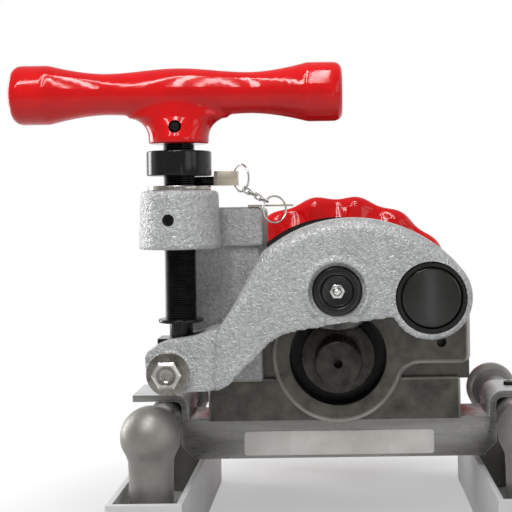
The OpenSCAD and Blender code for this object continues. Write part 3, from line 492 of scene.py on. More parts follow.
# Rounding of the front edge: broad on the crown, less down the slope and the round end; pairs are (x, z)
armRound = {"crown": 9.5, "lower": 1.2, "crease": 3, "steps": 6, "topFrom": 176, "shoulder": (45, 160),
            "slope": (-55, 150), "slopeRise": 42, "slopeLeast": 0.3, "creaseTo": (-80, 152),
            "endFrom": 60, "endFoot": 140, "endLeast": 0.25}


def armOutline(spec):
    crown = arc(*spec["crown"], spec["crownFrom"], spec["crownTo"], 40)
    end = arc(pivotAxis.x, pivotAxis.z, spec["endRadius"], spec["crownTo"], spec["endTo"], 36)
    return crown[1:] + end[1:] + spec["belly"] + spec["slope"] + crown[:1]


# The share of the crown's rounding that the front edge has at a place
def roundShare(spec, x, z):
    if x > spec["endFrom"] and z < spec["topFrom"]:
        return max(spec["endLeast"], (z - spec["endFoot"]) / (spec["topFrom"] - spec["endFoot"]))
    if x < spec["creaseTo"][0] and z < spec["creaseTo"][1]:
        return spec["crease"] / spec["crown"]
    if x < spec["slope"][0] and z > spec["slope"][1]:
        return max(spec["slopeLeast"], min(1, (z - spec["slope"][1]) / spec["slopeRise"]))
    onTop = z > spec["topFrom"] or (x > spec["shoulder"][0] and z > spec["shoulder"][1])
    return 1 if onTop else spec["lower"] / spec["crown"]


def roundFront(piece, spec):
    mesh = piece.data
    weight = mesh.attributes.new("bevel_weight_edge", "FLOAT", "EDGE")
    for edge in mesh.edges:
        first, second = [mesh.vertices[index].co / mm for index in edge.vertices]
        if max(abs(first.y - armLow.y), abs(second.y - armLow.y)) < near:
            mid = (first + second) / 2
            weight.data[edge.index].value = roundShare(spec, mid.x, mid.z)
    rounding = piece.modifiers.new("rounding", "BEVEL")
    rounding.limit_method = "WEIGHT"
    rounding.width = spec["crown"] * mm
    rounding.segments = spec["steps"]
    rounding.profile = 0.5
    rounding.use_clamp_overlap = False
    return settle(piece)


def armLug(spec, front):
    outline = spec["lug"] + arc(*spec["lugEnd"], 180, 270, 12) + [spec["lugFoot"]]
    lug = drawnOut(outline, front + spec["lugSetBack"], armHigh.y)
    onLip = lambda end: end.y < front + spec["lugLip"] and end.x < spec["lugFoot"][0] + near
    return softEdges(lug, spec["lugRound"], 4, 50, lambda edge: all(map(onLip, ends(edge))))


def armLip(spec, front):
    inner, outer = spec["lipMid"] - spec["lipHalf"], spec["lipMid"] + spec["lipHalf"]
    sunk, proud, edge = spec["lipSunk"], -spec["lipProud"], spec["lipEdge"]
    rows = [(sunk, inner, 0), (proud, inner, edge), (proud, spec["lipMid"], edge), (0, outer, edge),
            (sunk, outer, 0), (sunk, inner, 0)]
    return cutBelow(turned(rows, atDepth(rollAxis, front), alongY), spec["lipFoot"])


# The bores of the arm: roll shaft with its relief, pivot, slot for the roll, pocket of the screw and bolt
def armBores(spec, front, bolt):
    keyhole = arc(rollAxis.x, rollAxis.z, spec["bore"], spec["boreFrom"], spec["boreTo"], 72)
    keyhole += [(side * spec["reliefHalf"], spec["reliefFoot"], 0) for side in (-1, 1)]
    start, end = through
    pivotRows = [(start, 0, 0), (start, spec["pivotMouth"], 0), (*spec["pivotNeck"], 0),
                 (end, spec["pivotBore"], 0), (end, 0, 0)]
    blockLow, blockHigh = cadBox("swivel_block")
    pocketEnd = (blockHigh.x + spec["pocketSide"], blockHigh.y + spec["pocketGap"][1], spec["pocketTop"])
    onRoll = atDepth(rollAxis, front)
    return [
        drawnOut(keyhole, front - spec["boreAhead"], front + spec["boreDepth"]),
        rod(*through, spec["shaftHole"], onRoll, alongY),
        turned(pivotRows, atDepth(pivotAxis, front), alongY),
        rod(spec["slotFrom"], spec["slotTo"], spec["slotRadius"], onRoll, alongY),
        block(blockLow - Vector(spec["pocketGap"]), pocketEnd),
        rod(*through, spec["boltHole"], bolt, alongY),
    ]


def buildArm(spec):
    front = armLow.y
    bolt = (spec["bolt"][0], front, spec["bolt"][1])
    piece = toPiece(drawnOut(armOutline(spec), front, armHigh.y), "arm_casting")
    roundFront(piece, armRound)
    pad = rod(0, spec["padDepth"], spec["pad"], bolt, alongY, rounds=(spec["padEdge"], 0))
    addShells(piece, [armLug(spec, front), armLip(spec, front), pad])
    castSkin(piece, spec["cell"], spec["ease"])
    carve(piece, armBores(spec, front, bolt))
    return dress(piece, hammered, "lever", ["arm"], 30)


buildArm(arm)
print("arm made")


# Pins that show on the arm's face

# the roll's shaft in rows of (depth, radius, rounding): the dish in its front, then the bar
rollShaft = {"front": -88, "rows": [(2.2, 0, 0), (2.2, 10.2, 0.8), (0, 11.6, 0.8), (0, 17, 2),
                                    (40.8, 17, 0.5), (40.8, 0, 0)]}


def buildShaft(spec):
    piece = toPiece(turned(spec["rows"], atDepth(rollAxis, spec["front"]), alongY), "roll_shaft_pin")
    return dress(piece, shaftBlack, "lever", ["roll_shaft"])


pivotPin = {"radius": 21, "edges": (2.3, 0.5), "steps": 128, "edgeSteps": 8}


def buildPivotPin(spec):
    low, high = cadBox("pivot_pin")
    bm = rod(0, high.y - low.y, spec["radius"], atDepth(pivotAxis, low.y), alongY, spec["steps"],
             spec["edges"], spec["edgeSteps"])
    return dress(toPiece(bm, "pivot_pin_turned"), pinBlack, "stand", ["pivot_pin"])


buildShaft(rollShaft)
buildPivotPin(pivotPin)
print("pins made")


# Handle: a turned bar with thick ends, grown into its stem

handle = {"half": 113.5, "end": 20.5, "waist": 14.3, "waistAt": 50, "swell": 17.5, "barrelFrom": 89,
          "barrelCurve": 1.7, "endRound": 6, "halfRows": 14, "steps": 64, "stem": 20.7, "stemEdge": 1.2,
          "stemBand": 4, "fillet": 14, "depth": 16, "cell": 1.25, "ease": 3, "pinHole": 4.4, "seat": 9.1,
          "seatDepth": 26, "holeSteps": 32}


def barRadius(spec, x):
    away = abs(x)
    if away < spec["waistAt"]:
        fade = math.cos(math.pi / 2 * away / spec["waistAt"]) ** 2
        return spec["waist"] + (spec["swell"] - spec["waist"]) * fade
    rise = (away - spec["waistAt"]) / (spec["barrelFrom"] - spec["waistAt"])
    return spec["waist"] + (spec["end"] - spec["waist"]) * min(1, rise) ** spec["barrelCurve"]


def handleBar(spec, centre):
    count = spec["halfRows"]
    places = [spec["barrelFrom"] * (step / count - 1) for step in range(2 * count + 1)]
    rows = [(-spec["half"], 0, 0), (-spec["half"], spec["end"], spec["endRound"])]
    rows += [(x, barRadius(spec, x), 0) for x in places]
    rows += [(spec["half"], spec["end"], spec["endRound"]), (spec["half"], 0, 0)]
    return turned(rows, centre, alongX, spec["steps"])


def handleStem(spec, foot, rise):
    flare = [(spec["stemBand"] + spec["fillet"] * math.sin(math.radians(a)),
              spec["stem"] + spec["fillet"] * (1 - math.cos(math.radians(a))), 0) for a in range(0, 91, 10)]
    rows = [(0, 0, 0), (0, spec["stem"], spec["stemEdge"])] + flare
    rows += [(rise, spec["stem"] + spec["fillet"], 0), (rise, 0, 0)]
    stem = turned(rows, atHeight(foot), alongZ, spec["steps"])
    axisY = screwAxis.y * mm
    for vert in stem.verts:  # the stem thins from a round foot to the bar's own depth
        share = min(1, max(0, (vert.co.z / mm - foot - spec["stemBand"]) / spec["fillet"]))
        reach = spec["stem"] + spec["fillet"] * (1 - math.sqrt(1 - share * share))
        deep = spec["stem"] + (spec["depth"] - spec["stem"]) * share
        vert.co.y = axisY + (vert.co.y - axisY) * deep / reach
    return stem


def buildHandle(spec):
    low, high = cadBox("t_handle")
    centre = atHeight(high.z - spec["end"])
    piece = toPiece(handleBar(spec, centre), "t_handle_bar")
    addShells(piece, [handleStem(spec, low.z, centre[2] - low.z)])
    castSkin(piece, spec["cell"], spec["ease"])
    pinAt = atHeight(middle("handle_pin").z)
    socket = rod(-60, 60, spec["pinHole"], pinAt, alongY, spec["holeSteps"])
    seat = rod(-1, spec["seatDepth"], spec["seat"], atHeight(low.z), alongZ, spec["holeSteps"])
    carve(piece, [socket, seat])
    return dress(piece, redPaint, "screw", ["t_handle"], 60)


buildHandle(handle)
print("handle made")


# Feed screw: a real helix between its plain ends

screw = {"pitch": 1.5, "crest": 11, "root": 10.05, "flankTo": 0.36, "crestTo": 0.56, "from": 161.95,
         "to": 281.9, "perTurn": 36, "spareTurns": 2, "neck": 8, "neckEdge": 0.6, "neckLap": 0.5, "tang": 9,
         "tangEdge": 0.8, "tangLap": 1, "endSteps": 48}


def threadMesh(spec, x, y):
    bm = bmesh.new()
    rows = [(0, spec["root"]), (spec["flankTo"], spec["crest"]), (spec["crestTo"], spec["crest"]),
            (1, spec["root"])]
    base = spec["from"] - spec["spareTurns"] * spec["pitch"]
    verts = [bm.verts.new(spot(x + radius, y, base + place * spec["pitch"])) for place, radius in rows]
    for first, second in zip(verts, verts[1:]):
        bm.edges.new((first, second))
    turns = math.ceil((spec["to"] - base) / spec["pitch"]) + spec["spareTurns"]
    bmesh.ops.spin(bm, geom=bm.verts[:] + bm.edges[:], cent=spot(x, y, 0), axis=alongZ,
                   dvec=alongZ * spec["pitch"] / spec["perTurn"] * mm, angle=2 * math.pi * turns,
                   steps=turns * spec["perTurn"], use_merge=False)
    bmesh.ops.remove_doubles(bm, verts=bm.verts, dist=merging["copied"] * mm)
    for height, below in ((spec["from"], True), (spec["to"], False)):  # both ends are cut square and closed
        bmesh.ops.bisect_plane(bm, geom=everything(bm), plane_co=spot(0, 0, height), plane_no=alongZ,
                               clear_inner=below, clear_outer=not below)
        rim = [edge for edge in bm.edges if edge.is_boundary
               and all(abs(end.z - height) < near for end in ends(edge))]
        bmesh.ops.holes_fill(bm, edges=rim, sides=0)
    return closeUp(bm)


def buildScrew(spec):
    low, high = cadBox("feed_screw")
    piece = toPiece(threadMesh(spec, screwAxis.x, screwAxis.y), "feed_screw_cut")
    neck = rod(0, spec["from"] - low.z + spec["neckLap"], spec["neck"], atHeight(low.z), alongZ,
               spec["endSteps"], (spec["neckEdge"], 0))
    tang = rod(-spec["tangLap"], high.z - spec["to"], spec["tang"], atHeight(spec["to"]), alongZ,
               spec["endSteps"], (0, spec["tangEdge"]))
    addShells(piece, [neck, tang])
    return dress(piece, blackSteel, "screw", ["feed_screw"], 25)


buildScrew(screw)
print("screw made")


# Collar and thrust ring on the screw

rings = {
    "depth_collar": {"body": "collar", "outer": 22.25, "inner": 11.15, "edge": 1.0, "boreEdge": 0.3},
    "thrust_ring": {"body": "screw", "outer": 15.5, "inner": 8.1, "edge": 0.7, "boreEdge": 0.3},
}


def buildRing(node, spec):
    low, high = cadBox(node)
    tall = high.z - low.z
    inner, outer = (spec["inner"], spec["boreEdge"]), (spec["outer"], spec["edge"])
    rows = [(0, *inner), (0, *outer), (tall, *outer), (tall, *inner), (0, spec["inner"], 0)]
    piece = toPiece(turned(rows, atHeight(low.z), alongZ, 128), node + "_turned")
    return dress(piece, blackSteel, spec["body"], [node])


for node, spec in rings.items():
    buildRing(node, spec)


# Bracket: a tapered boss on a tongue, both with a cast skin

bracket = {"bossFoot": (28.2, 1), "bossTop": (26.7, 3), "tongueFront": -45, "plateGap": 0.2, "edge": 4,
           "cell": 1.3, "ease": 4, "bushHole": 16.1, "grubHole": 4.1, "grubAhead": 30, "grubDepth": 12,
           "boltHole": 4.3, "boltHalf": 14, "holeSteps": 32}  # the boss has pairs of (radius, rounding)


def buildBracket(spec):
    low, high = cadBox("screw_bracket")
    foot = atHeight(low.z)
    tongueTop = cadBox("gauge_plate")[0].z - spec["plateGap"]
    tall = high.z - low.z
    bossRows = [(0, 0, 0), (0, *spec["bossFoot"]), (tall, *spec["bossTop"]), (tall, 0, 0)]
    tongue = block((screwAxis.x, spec["tongueFront"], low.z), (high.x, high.y, tongueTop))
    softEdges(tongue, spec["edge"], 4, 30, lambda edge: all(end.z > low.z + 1 for end in ends(edge)))
    piece = join(toPiece(turned(bossRows, foot, alongZ), "bracket_casting"), [tongue])
    castSkin(piece, spec["cell"], spec["ease"])
    grub = atDepth(middle("bush_grub_screw"), cadBox("bush_grub_screw")[0].y)
    bolts = middle("bracket_bolts")
    holes = [rod(-1, tall + 1, spec["bushHole"], foot, alongZ, 64),
             rod(-spec["grubAhead"], spec["grubDepth"], spec["grubHole"], grub, alongY, spec["holeSteps"])]
    for x in (bolts.x - spec["boltHalf"], bolts.x + spec["boltHalf"]):
        holes.append(rod(-1, 60, spec["boltHole"], (x, bolts.y, low.z), alongZ, spec["holeSteps"]))
    carve(piece, holes)
    return dress(piece, hammered, "stand", ["screw_bracket"], 35)


buildBracket(bracket)
print("bracket made")


# Body: plinth, column, and a face plate whose lower edge runs in an S from the ring to the pivot block

body = {
    "plateFront": -45, "plateBack": -31.3, "plateRim": 5, "plateRight": 95, "cornerRound": 7, "rimSteps": 6,
    "ring": 47.5, "ringTo": -200, "ledge": 123.5, "sweep": 12, "sweepAt": (44, 115),
    "plinthLow": (-94, -39, 84), "plinthRight": 88, "plinthTop": 114, "plinthEdge": 2.6,
    "wallLow": (-98, -33, 112), "wallSetBack": 6,
    "columnLow": (-106, -41, 112), "columnRight": -54, "columnBack": 21, "columnEdge": 3,
    "pivotBoss": 28, "pivotBossLong": 94, "pivotBossEdges": (2, 2),
    "rearBoss": 42, "rearBossFront": -33, "rearBossLong": 88, "rearBossEdges": (0, 2),
    # bores in rows of (depth, radius, rounding)
    "recess": [(-1, 0, 0), (-1, 35.6, 0), (1, 34.5, 0), (22, 34.5, 0), (22, 0, 0)],
    "recessFrom": 0.8, "recessTo": 22.1, "recessReach": 36,
    "bearings": [(0, 0, 0), (0, 27.5, 0), (35, 27.5, 0), (35, 19, 0), (87, 19, 0), (87, 27.5, 0),
                 (101, 27.5, 0), (101, 0, 0)],
    "faceHole": [(-1, 0, 0), (-1, 4, 0), (0.6, 3.4, 0), (12, 3.4, 0), (12, 0, 0)], "faceHoleAt": (74, 139.5),
    "pinHole": 21.05, "pinLong": 110, "lockHole": 4, "lockY": 5, "lockLong": 50, "holeSteps": 32,
    "paintLow": (-107, -42, 114.5), "paintHigh": (-53.9, 22),  # the column is painted in this box
}


def facePlate(spec):
    meet = math.degrees(math.asin((spec["ledge"] - driveAxis.z) / spec["ring"]))
    ring = arc(driveAxis.x, driveAxis.z, spec["ring"], meet, spec["ringTo"], 64)
    ring[0] = (ring[0][0], ring[0][1], spec["sweep"])
    sweepX, sweepZ = spec["sweepAt"]
    right = spec["plateRight"]
    outline = [(right, pivotAxis.z, 0), (right, spec["ledge"], spec["cornerRound"])]
    outline += [row for row in ring if row is ring[0] or row[0] < sweepX or row[1] < sweepZ]
    outline += [(ring[-1][0], pivotAxis.z, 0)]
    plate = drawnOut(outline, spec["plateFront"], spec["plateBack"], 8)
    return softEdges(plate, spec["plateRim"], spec["rimSteps"], 40,
                     lambda edge: all(end.y < spec["plateFront"] + 0.1 for end in ends(edge)), False)


def bodyBlocks(spec, back):
    plinth = block(spec["plinthLow"], (spec["plinthRight"], back, spec["plinthTop"]))
    softEdges(plinth, spec["plinthEdge"], spec["rimSteps"], 30,
              lambda edge: any(end.z > spec["plinthLow"][2] + 1 for end in ends(edge)))
    wall = block(spec["wallLow"], (spec["plateRight"], back - spec["wallSetBack"], pivotAxis.z))
    top = cadBox("screw_bracket")[0].z
    column = block(spec["columnLow"], (spec["columnRight"], spec["columnBack"], top))
    underTop = lambda edge: all(end.z < top - 0.5 for end in ends(edge))
    upright = lambda edge: abs(edge.verts[0].co.z - edge.verts[1].co.z) > mm
    softEdges(column, spec["columnEdge"], spec["rimSteps"], 30,
              lambda edge: underTop(edge) or upright(edge))
    pivotBoss = rod(0, spec["pivotBossLong"], spec["pivotBoss"], atDepth(pivotAxis, spec["plateFront"]),
                    alongY, rounds=spec["pivotBossEdges"])
    rearBoss = rod(0, spec["rearBossLong"], spec["rearBoss"], atDepth(driveAxis, spec["rearBossFront"]),
                   alongY, rounds=spec["rearBossEdges"])
    return [plinth, wall, column, pivotBoss, rearBoss]


def bodyBores(spec):
    front = spec["plateFront"]
    onDrive, onPivot = atDepth(driveAxis, front), atDepth(pivotAxis, front)
    faceX, faceZ = spec["faceHoleAt"]
    lock = atDepth(pivotAxis, spec["lockY"])
    return [
        turned(spec["recess"], onDrive, alongY, 128),
        turned(spec["bearings"], onDrive, alongY),
        rod(-1, spec["pinLong"], spec["pinHole"], onPivot, alongY),
        turned(spec["faceHole"], (faceX, front, faceZ), alongY, spec["holeSteps"]),
        rod(0, spec["lockLong"], spec["lockHole"], lock, alongZ, spec["holeSteps"]),
    ]


def buildBody(spec):
    piece = toPiece(facePlate(spec), "body_machined")
    join(piece, bodyBlocks(spec, cadBox("body_casting")[1].y))
    carve(piece, bodyBores(spec))
    low, high = spec["paintLow"], spec["paintHigh"]
    onColumn = lambda place: place.z > low[2] and low[0] < place.x < high[0] and low[1] < place.y < high[1]
    away = lambda place: math.hypot(place.x - driveAxis.x, place.z - driveAxis.z)
    # the recess round the drive shaft is painted near-black as painted shade
    inRecess = lambda place: (spec["recessFrom"] < place.y - spec["plateFront"] < spec["recessTo"]
                              and away(place) < spec["recessReach"])
    return dress(piece, casting, "stand", ["body_casting"], 12,
                 [(hammered, onColumn), (paintedShadeBlack, inRecess)])


buildBody(body)
print("body made")


# Rolls

# the drive roll in rows of (depth, radius, rounding): nose, knurl, pipe stop and socket of the shaft
driveRoll = {"rows": [(0, 3, 0.3), (0, 14.8, 0.4), (1.6, 16.5, 0.4), (34, 16.5, 0), (34, 18.5, 0.4),
                      (35, 26.4, 0.8), (43, 26.5, 0.8), (43, 15.1, 0), (26, 15.1, 0), (25.5, 3, 0),
                      (0, 3, 0)],
             "knurl": 16.5, "knurlBand": 0.3, "knurlDepth": 0.5, "spokes": 120}


def buildDriveRoll(spec):
    bm = turned(spec["rows"], atDepth(driveAxis, cadBox("drive_roll")[0].y), alongY, spec["spokes"])
    axis = spot(driveAxis.x, 0, driveAxis.z)
    for vert in bm.verts:  # every second spoke sinks: a straight knurl
        away = Vector((vert.co.x - axis.x, 0, vert.co.z - axis.z))
        spoke = round(math.atan2(away.z, away.x) / (2 * math.pi) * spec["spokes"])
        if abs(away.length / mm - spec["knurl"]) < spec["knurlBand"] and spoke % 2:
            vert.co -= away.normalized() * spec["knurlDepth"] * mm
    return dress(toPiece(bm, "drive_roll_knurled"), driveSteel, "drive", ["drive_roll"])


grooveRoll = {"bore": 20.2, "boreEdge": 0.4, "side": 27.2, "sideEdge": 0.8, "ridge": 29, "ridgeWide": 8.7,
              "ridgeFoot": 0.6, "ridgeEdge": 0.8, "ridgeSlant": 0.8}


def buildGrooveRoll(spec):
    low, high = cadBox("groove_roll")
    wide = high.y - low.y
    start = (wide - spec["ridgeWide"]) / 2
    slant = spec["ridgeSlant"]
    rows = [(0, spec["bore"], spec["boreEdge"]), (0, spec["side"], spec["sideEdge"]),
            (start, spec["side"], spec["ridgeFoot"]), (start + slant, spec["ridge"], spec["ridgeEdge"]),
            (wide - start - slant, spec["ridge"], spec["ridgeEdge"]),
            (wide - start, spec["side"], spec["ridgeFoot"]), (wide, spec["side"], spec["sideEdge"]),
            (wide, spec["bore"], spec["boreEdge"]), (0, spec["bore"], 0)]
    piece = toPiece(turned(rows, atDepth(rollAxis, low.y), alongY, 128), "groove_roll_turned")
    return dress(piece, rollSteel, "roll", ["groove_roll"])


buildDriveRoll(driveRoll)
buildGrooveRoll(grooveRoll)
print("rolls made")


# Hand wheel: a thick round rim with finger hollows, a web and a hub

wheel = {"outer": 117, "lobes": 18, "perLobe": 12, "rim": 19.5, "rimRound": 3, "thick": 24,
         "edgeShare": 0.42, "edgeSteps": 6, "hollow": 3.6, "frontHollow": 4.5, "web": 8, "webLap": 3,
         "hub": 31, "hubEdges": (2.5, 2.5), "bore": 15.1, "hubSteps": 64}


def wheelRim(spec, centre, inner):
    edge = spec["thick"] * spec["edgeShare"]
    rows = [(0, inner, spec["rimRound"]), (0, spec["outer"], edge), (spec["thick"], spec["outer"], edge),
            (spec["thick"], inner, spec["rimRound"]), (0, inner, 0)]
    rim = turned(rows, centre, alongY, spec["lobes"] * spec["perLobe"], spec["edgeSteps"])
    for vert in rim.verts:  # each finger hollow sinks into the outer edge and the front face
        away = Vector((vert.co.x / mm - centre[0], 0, vert.co.z / mm - centre[2]))
        dip = (1 - math.cos(spec["lobes"] * math.atan2(away.z, away.x))) / 2
        out = max(0, (away.length - inner) / spec["rim"])
        ahead = max(0, 1 - (vert.co.y / mm - centre[1]) / spec["thick"] * 2)
        vert.co -= away.normalized() * spec["hollow"] * dip * out * mm
        vert.co.y += spec["frontHollow"] * dip * ahead * min(1, out * 2) * mm
    return rim


def buildWheel(spec):
    low, high = cadBox("hand_wheel")
    centre = atDepth(driveAxis, low.y)
    inner = spec["outer"] - spec["rim"]
    rim = toPiece(wheelRim(spec, centre, inner), "hand_wheel_rim")
    dress(rim, redPaint, "drive", ["hand_wheel"], 40)
    webAt = (spec["thick"] - spec["web"]) / 2
    web = rod(webAt, webAt + spec["web"], inner + spec["webLap"], centre, alongY)
    hub = rod(0, high.y - low.y, spec["hub"], centre, alongY, spec["hubSteps"], spec["hubEdges"])
    piece = join(toPiece(web, "hand_wheel_web"), [hub])
    carve(piece, [rod(*through, spec["bore"], centre, alongY, spec["hubSteps"])])
    return dress(piece, darkCast, "drive", ["hand_wheel"], 30)


buildWheel(wheel)
print("wheel made")


# Stand: posts, channels, crossbar and label

post = {"stem": 15, "stemEdge": 0.8, "ball": 20.5, "neckFrom": 58, "neck": [(-16, 15.4, 0), (-12, 16.8, 0)],
        "axisY": 84, "flatY": 72.725, "flatHalf": 24, "flatDepth": 20, "railHole": 9.1, "railDepth": 15}


def buildPost(node, spec):
    low, high = cadBox(node)
    x, y = (low.x + high.x) / 2, (low.y + high.y) / 2
    ballZ = high.z - spec["ball"]
    inward = 1 if y < 0 else -1
    ball = [(ballZ + spec["ball"] * math.sin(math.radians(a)), spec["ball"] * math.cos(math.radians(a)), 0)
            for a in range(-24, 91, 6)]
    rows = [(low.z, 0, 0), (low.z, spec["stem"], spec["stemEdge"]), (spec["neckFrom"], spec["stem"], 0)]
    rows += [(ballZ + place, radius, edge) for place, radius, edge in spec["neck"]] + ball
    piece = toPiece(turned(rows, (x, -inward * spec["axisY"], 0), alongZ, 72), node + "_cast")
    flat = -inward * spec["flatY"]
    faces = sorted((flat, flat + inward * spec["flatDepth"]))
    seat = block((x - spec["flatHalf"], faces[0], ballZ - spec["ball"]),
                 (x + spec["flatHalf"], faces[1], high.z + 2))
    hole = rod(-spec["railDepth"], spec["railDepth"], spec["railHole"], (x, flat, ballZ), alongY, 48)
    carve(piece, [seat, hole])
    return dress(piece, castPost, "stand", [node], 40)


for corner in ("front_left", "front_right", "rear_left", "rear_right"):
    buildPost("post_" + corner, post)

bars = {"channelEdge": 1.2, "crossbarEdge": 1.0, "edgeSteps": 3, "hookLap": 5.2}
for side in ("left", "right"):
    node = "base_channel_" + side
    channel = toPiece(cadCopy(node, bars["channelEdge"], bars["edgeSteps"]), node + "_painted")
    dress(channel, channelPaint, "stand", [node])
hookFrom = cadBox("side_rail_right")[0].x - bars["hookLap"]  # the hooks are painted from here outwards
crossbar = toPiece(cadCopy("crossbar", bars["crossbarEdge"], bars["edgeSteps"]), "crossbar_brushed")
dress(crossbar, brushedBar, "stand", ["crossbar"], 35,
      [(channelPaint, lambda place: abs(place.x) > hookFrom)])

label = {"corner": 2.5, "edge": 0.25}


def buildLabel(spec):
    low, high = cadBox("label_plate")
    corners = [(low.x, low.z), (high.x, low.z), (high.x, high.z), (low.x, high.z)]
    bm = drawnOut([(x, z, spec["corner"]) for x, z in corners], low.y, high.y)
    softEdges(bm, spec["edge"], 2, 60, lambda edge: all(end.y < low.y + near for end in ends(edge)))
    return dress(toPiece(bm, "label_bare"), labelFilm, "stand", ["label_plate"])


buildLabel(label)
print("stand made")


# Small pieces: merged copies with their edges taken off

smallPieces = [
    ("retainer_washer", darkZinc, "lever", "zinc_steel", 0.3),
    ("grease_nipple", bright, "lever", "zinc_steel", 0.2),
    ("screw_bush", bushSteel, "stand", "zinc_steel", 0.4),
    ("gauge_plate", gaugeSteel, "gauge_set", "gauge_steel", 0.15),
    ("gauge_ring", nickel, "gauge_set", "chain_steel", 0),
    ("gauge_chain", nickel, "gauge_set", "chain_steel", 0),
    ("key_ring", nickel, "gauge_set", "chain_steel", 0),
    ("wheel_nut", zinc, "drive", "zinc_steel", 0.5),
    ("side_rail_left", railSteel, "stand", "rail_steel", 0.5),
    ("side_rail_right", railSteel, "stand", "rail_steel", 0.5),
]
for node, material, bodyName, slot, width in smallPieces:
    dress(toPiece(cadCopy(node, width, 2, 25), node + "_finished"), material, bodyName, [node])

gauge = {"edge": 0.35, "paintedShadeTo": -85.6}  # the tongue is painted black up to here: painted shadow under the collar


def buildGauge(spec):
    bm = cadCopy("depth_gauge", spec["edge"], 2, 25)
    bmesh.ops.bisect_plane(bm, geom=everything(bm), plane_co=spot(spec["paintedShadeTo"], 0, 0), plane_no=alongX)
    piece = toPiece(bm, "depth_gauge_ground")
    # the tongue under the collar takes black as painted shadow; the end keeps the ground steel
    return dress(piece, gaugeSteel, "gauge_set", ["depth_gauge"], 35,
                 [(blackSteel, lambda place: place.x < spec["paintedShadeTo"])])


boltHead = {"flat": 8.3, "slope": 1.2, "shank": 5.9, "shankEdge": 0.8, "dishFrom": 0.3, "dishTo": 2,
            "step": 4.4, "rim": 6.6,  # the dish is in rows of (depth, radius, rounding)
            "dish": [(-1, 0, 0), (-1, 6.8, 0), (0.7, 6.4, 0.2), (0.7, 4.4, 0.2), (1.4, 3.5, 0.2),
                     (1.4, 0, 0)]}


def buildBolt(spec):
    low, high = cadBox("retainer_bolt")
    axis = middle("retainer_washer")
    foot = atDepth(axis, low.y)
    corner, long = (high.x - low.x) / 2, high.y - low.y
    tall = cadBox("retainer_washer")[0].y - low.y
    hexRows = [(0, 0, 0), (0, spec["flat"], 0), (spec["slope"], corner, 0), (tall, corner, 0), (tall, 0, 0)]
    piece = toPiece(turned(hexRows, foot, alongY, 6), "retainer_bolt_dished")
    join(piece, [rod(1, long, spec["shank"], foot, alongY, 48, (0, spec["shankEdge"]))])
    carve(piece, [turned(spec["dish"], foot, alongY, 64)])
    away = lambda place: math.hypot(place.x - axis.x, place.z - axis.z)
    inDish = lambda place: spec["dishFrom"] < place.y - low.y < spec["dishTo"]
    # the dish's step ring and floor take darker finishes than the head: painted shade in place of the
    # reflections that show the dish
    onStep = lambda place: inDish(place) and spec["step"] < away(place) < spec["rim"]
    onFloor = lambda place: inDish(place) and away(place) < spec["step"]
    return dress(piece, zinc, "lever", ["retainer_bolt"], 20,
                 [(darkZinc, onStep), (bushSteel, onFloor)])


buildGauge(gauge)
buildBolt(boltHead)

# Nodes whose own shape is right keep it and take a finish
keptNodes = {
    "base_bolts": zinc, "wheel_key": zinc, "hook_screws": blackSteel, "bracket_bolts": blackSteel,
    "bush_grub_screw": blackSteel, "pivot_lock_screw": blackSteel, "shaft_set_screw": blackSteel,
    "swivel_block": blackSteel, "handle_pin": blackSteel, "collar_set_screw": blackSteel,
    "front_bearing": railSteel, "rear_bearing": railSteel, "shaft_seal": rubber, "drive_shaft": driveSteel,
    # the pivot bush takes the near-black painted shade rather than a colour of its own
    "pivot_bush": paintedShadeBlack, "roll_bush": bronze,
}
for node, material in keptNodes.items():
    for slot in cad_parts[node].material_slots:
        slot.material = material
print("small pieces dressed")


# Floor, light and camera

studio = {"tone": 0.55, "roughness": 0.9, "gloss": 0.1, "share": 0.42, "nearTo": 0.15, "farFrom": 0.29,
          "aheadShare": 0.25, "aheadFrom": -0.7, "aheadTo": -0.1, "wallAt": 2600, "wallHeight": 1900,
          "bend": 700, "zenith": (0.50, 0.51, 0.525), "horizon": (0.17, 0.17, 0.175),
          "skyStops": (0.1, 0.75), "worldStrength": 0.8}


# One value from two
def combined(tree, operation, first, second):
    both = addNode(tree, "ShaderNodeMath", operation=operation)
    tree.links.new(first, both.inputs[0])
    tree.links.new(second, both.inputs[1])
    return both.outputs["Value"]


# The rays that see the backdrop's own white
def whiteRays(tree):
    path = tree.nodes.new("ShaderNodeLightPath")
    share = path.outputs["Is Camera Ray"]
    for ray in ("Is Glossy Ray", "Is Transmission Ray"):
        share = combined(tree, "MAXIMUM", share, path.outputs[ray])
    return share


# The backdrop's white by place: less of it close to the object, where the shadow falls, and far ahead of it
def whitePlaces(tree, spec):
    place = objectPlace(tree)
    reach = addNode(tree, "ShaderNodeVectorMath", operation="LENGTH")
    tree.links.new(place, reach.inputs[0])
    far = span(tree, reach.outputs["Value"], spec["share"], 1, spec["nearTo"], spec["farFrom"])
    split = tree.nodes.new("ShaderNodeSeparateXYZ")
    tree.links.new(place, split.inputs["Vector"])
    behind = span(tree, split.outputs["Y"], spec["aheadShare"], 1, spec["aheadFrom"], spec["aheadTo"])
    return combined(tree, "MINIMUM", far, behind)


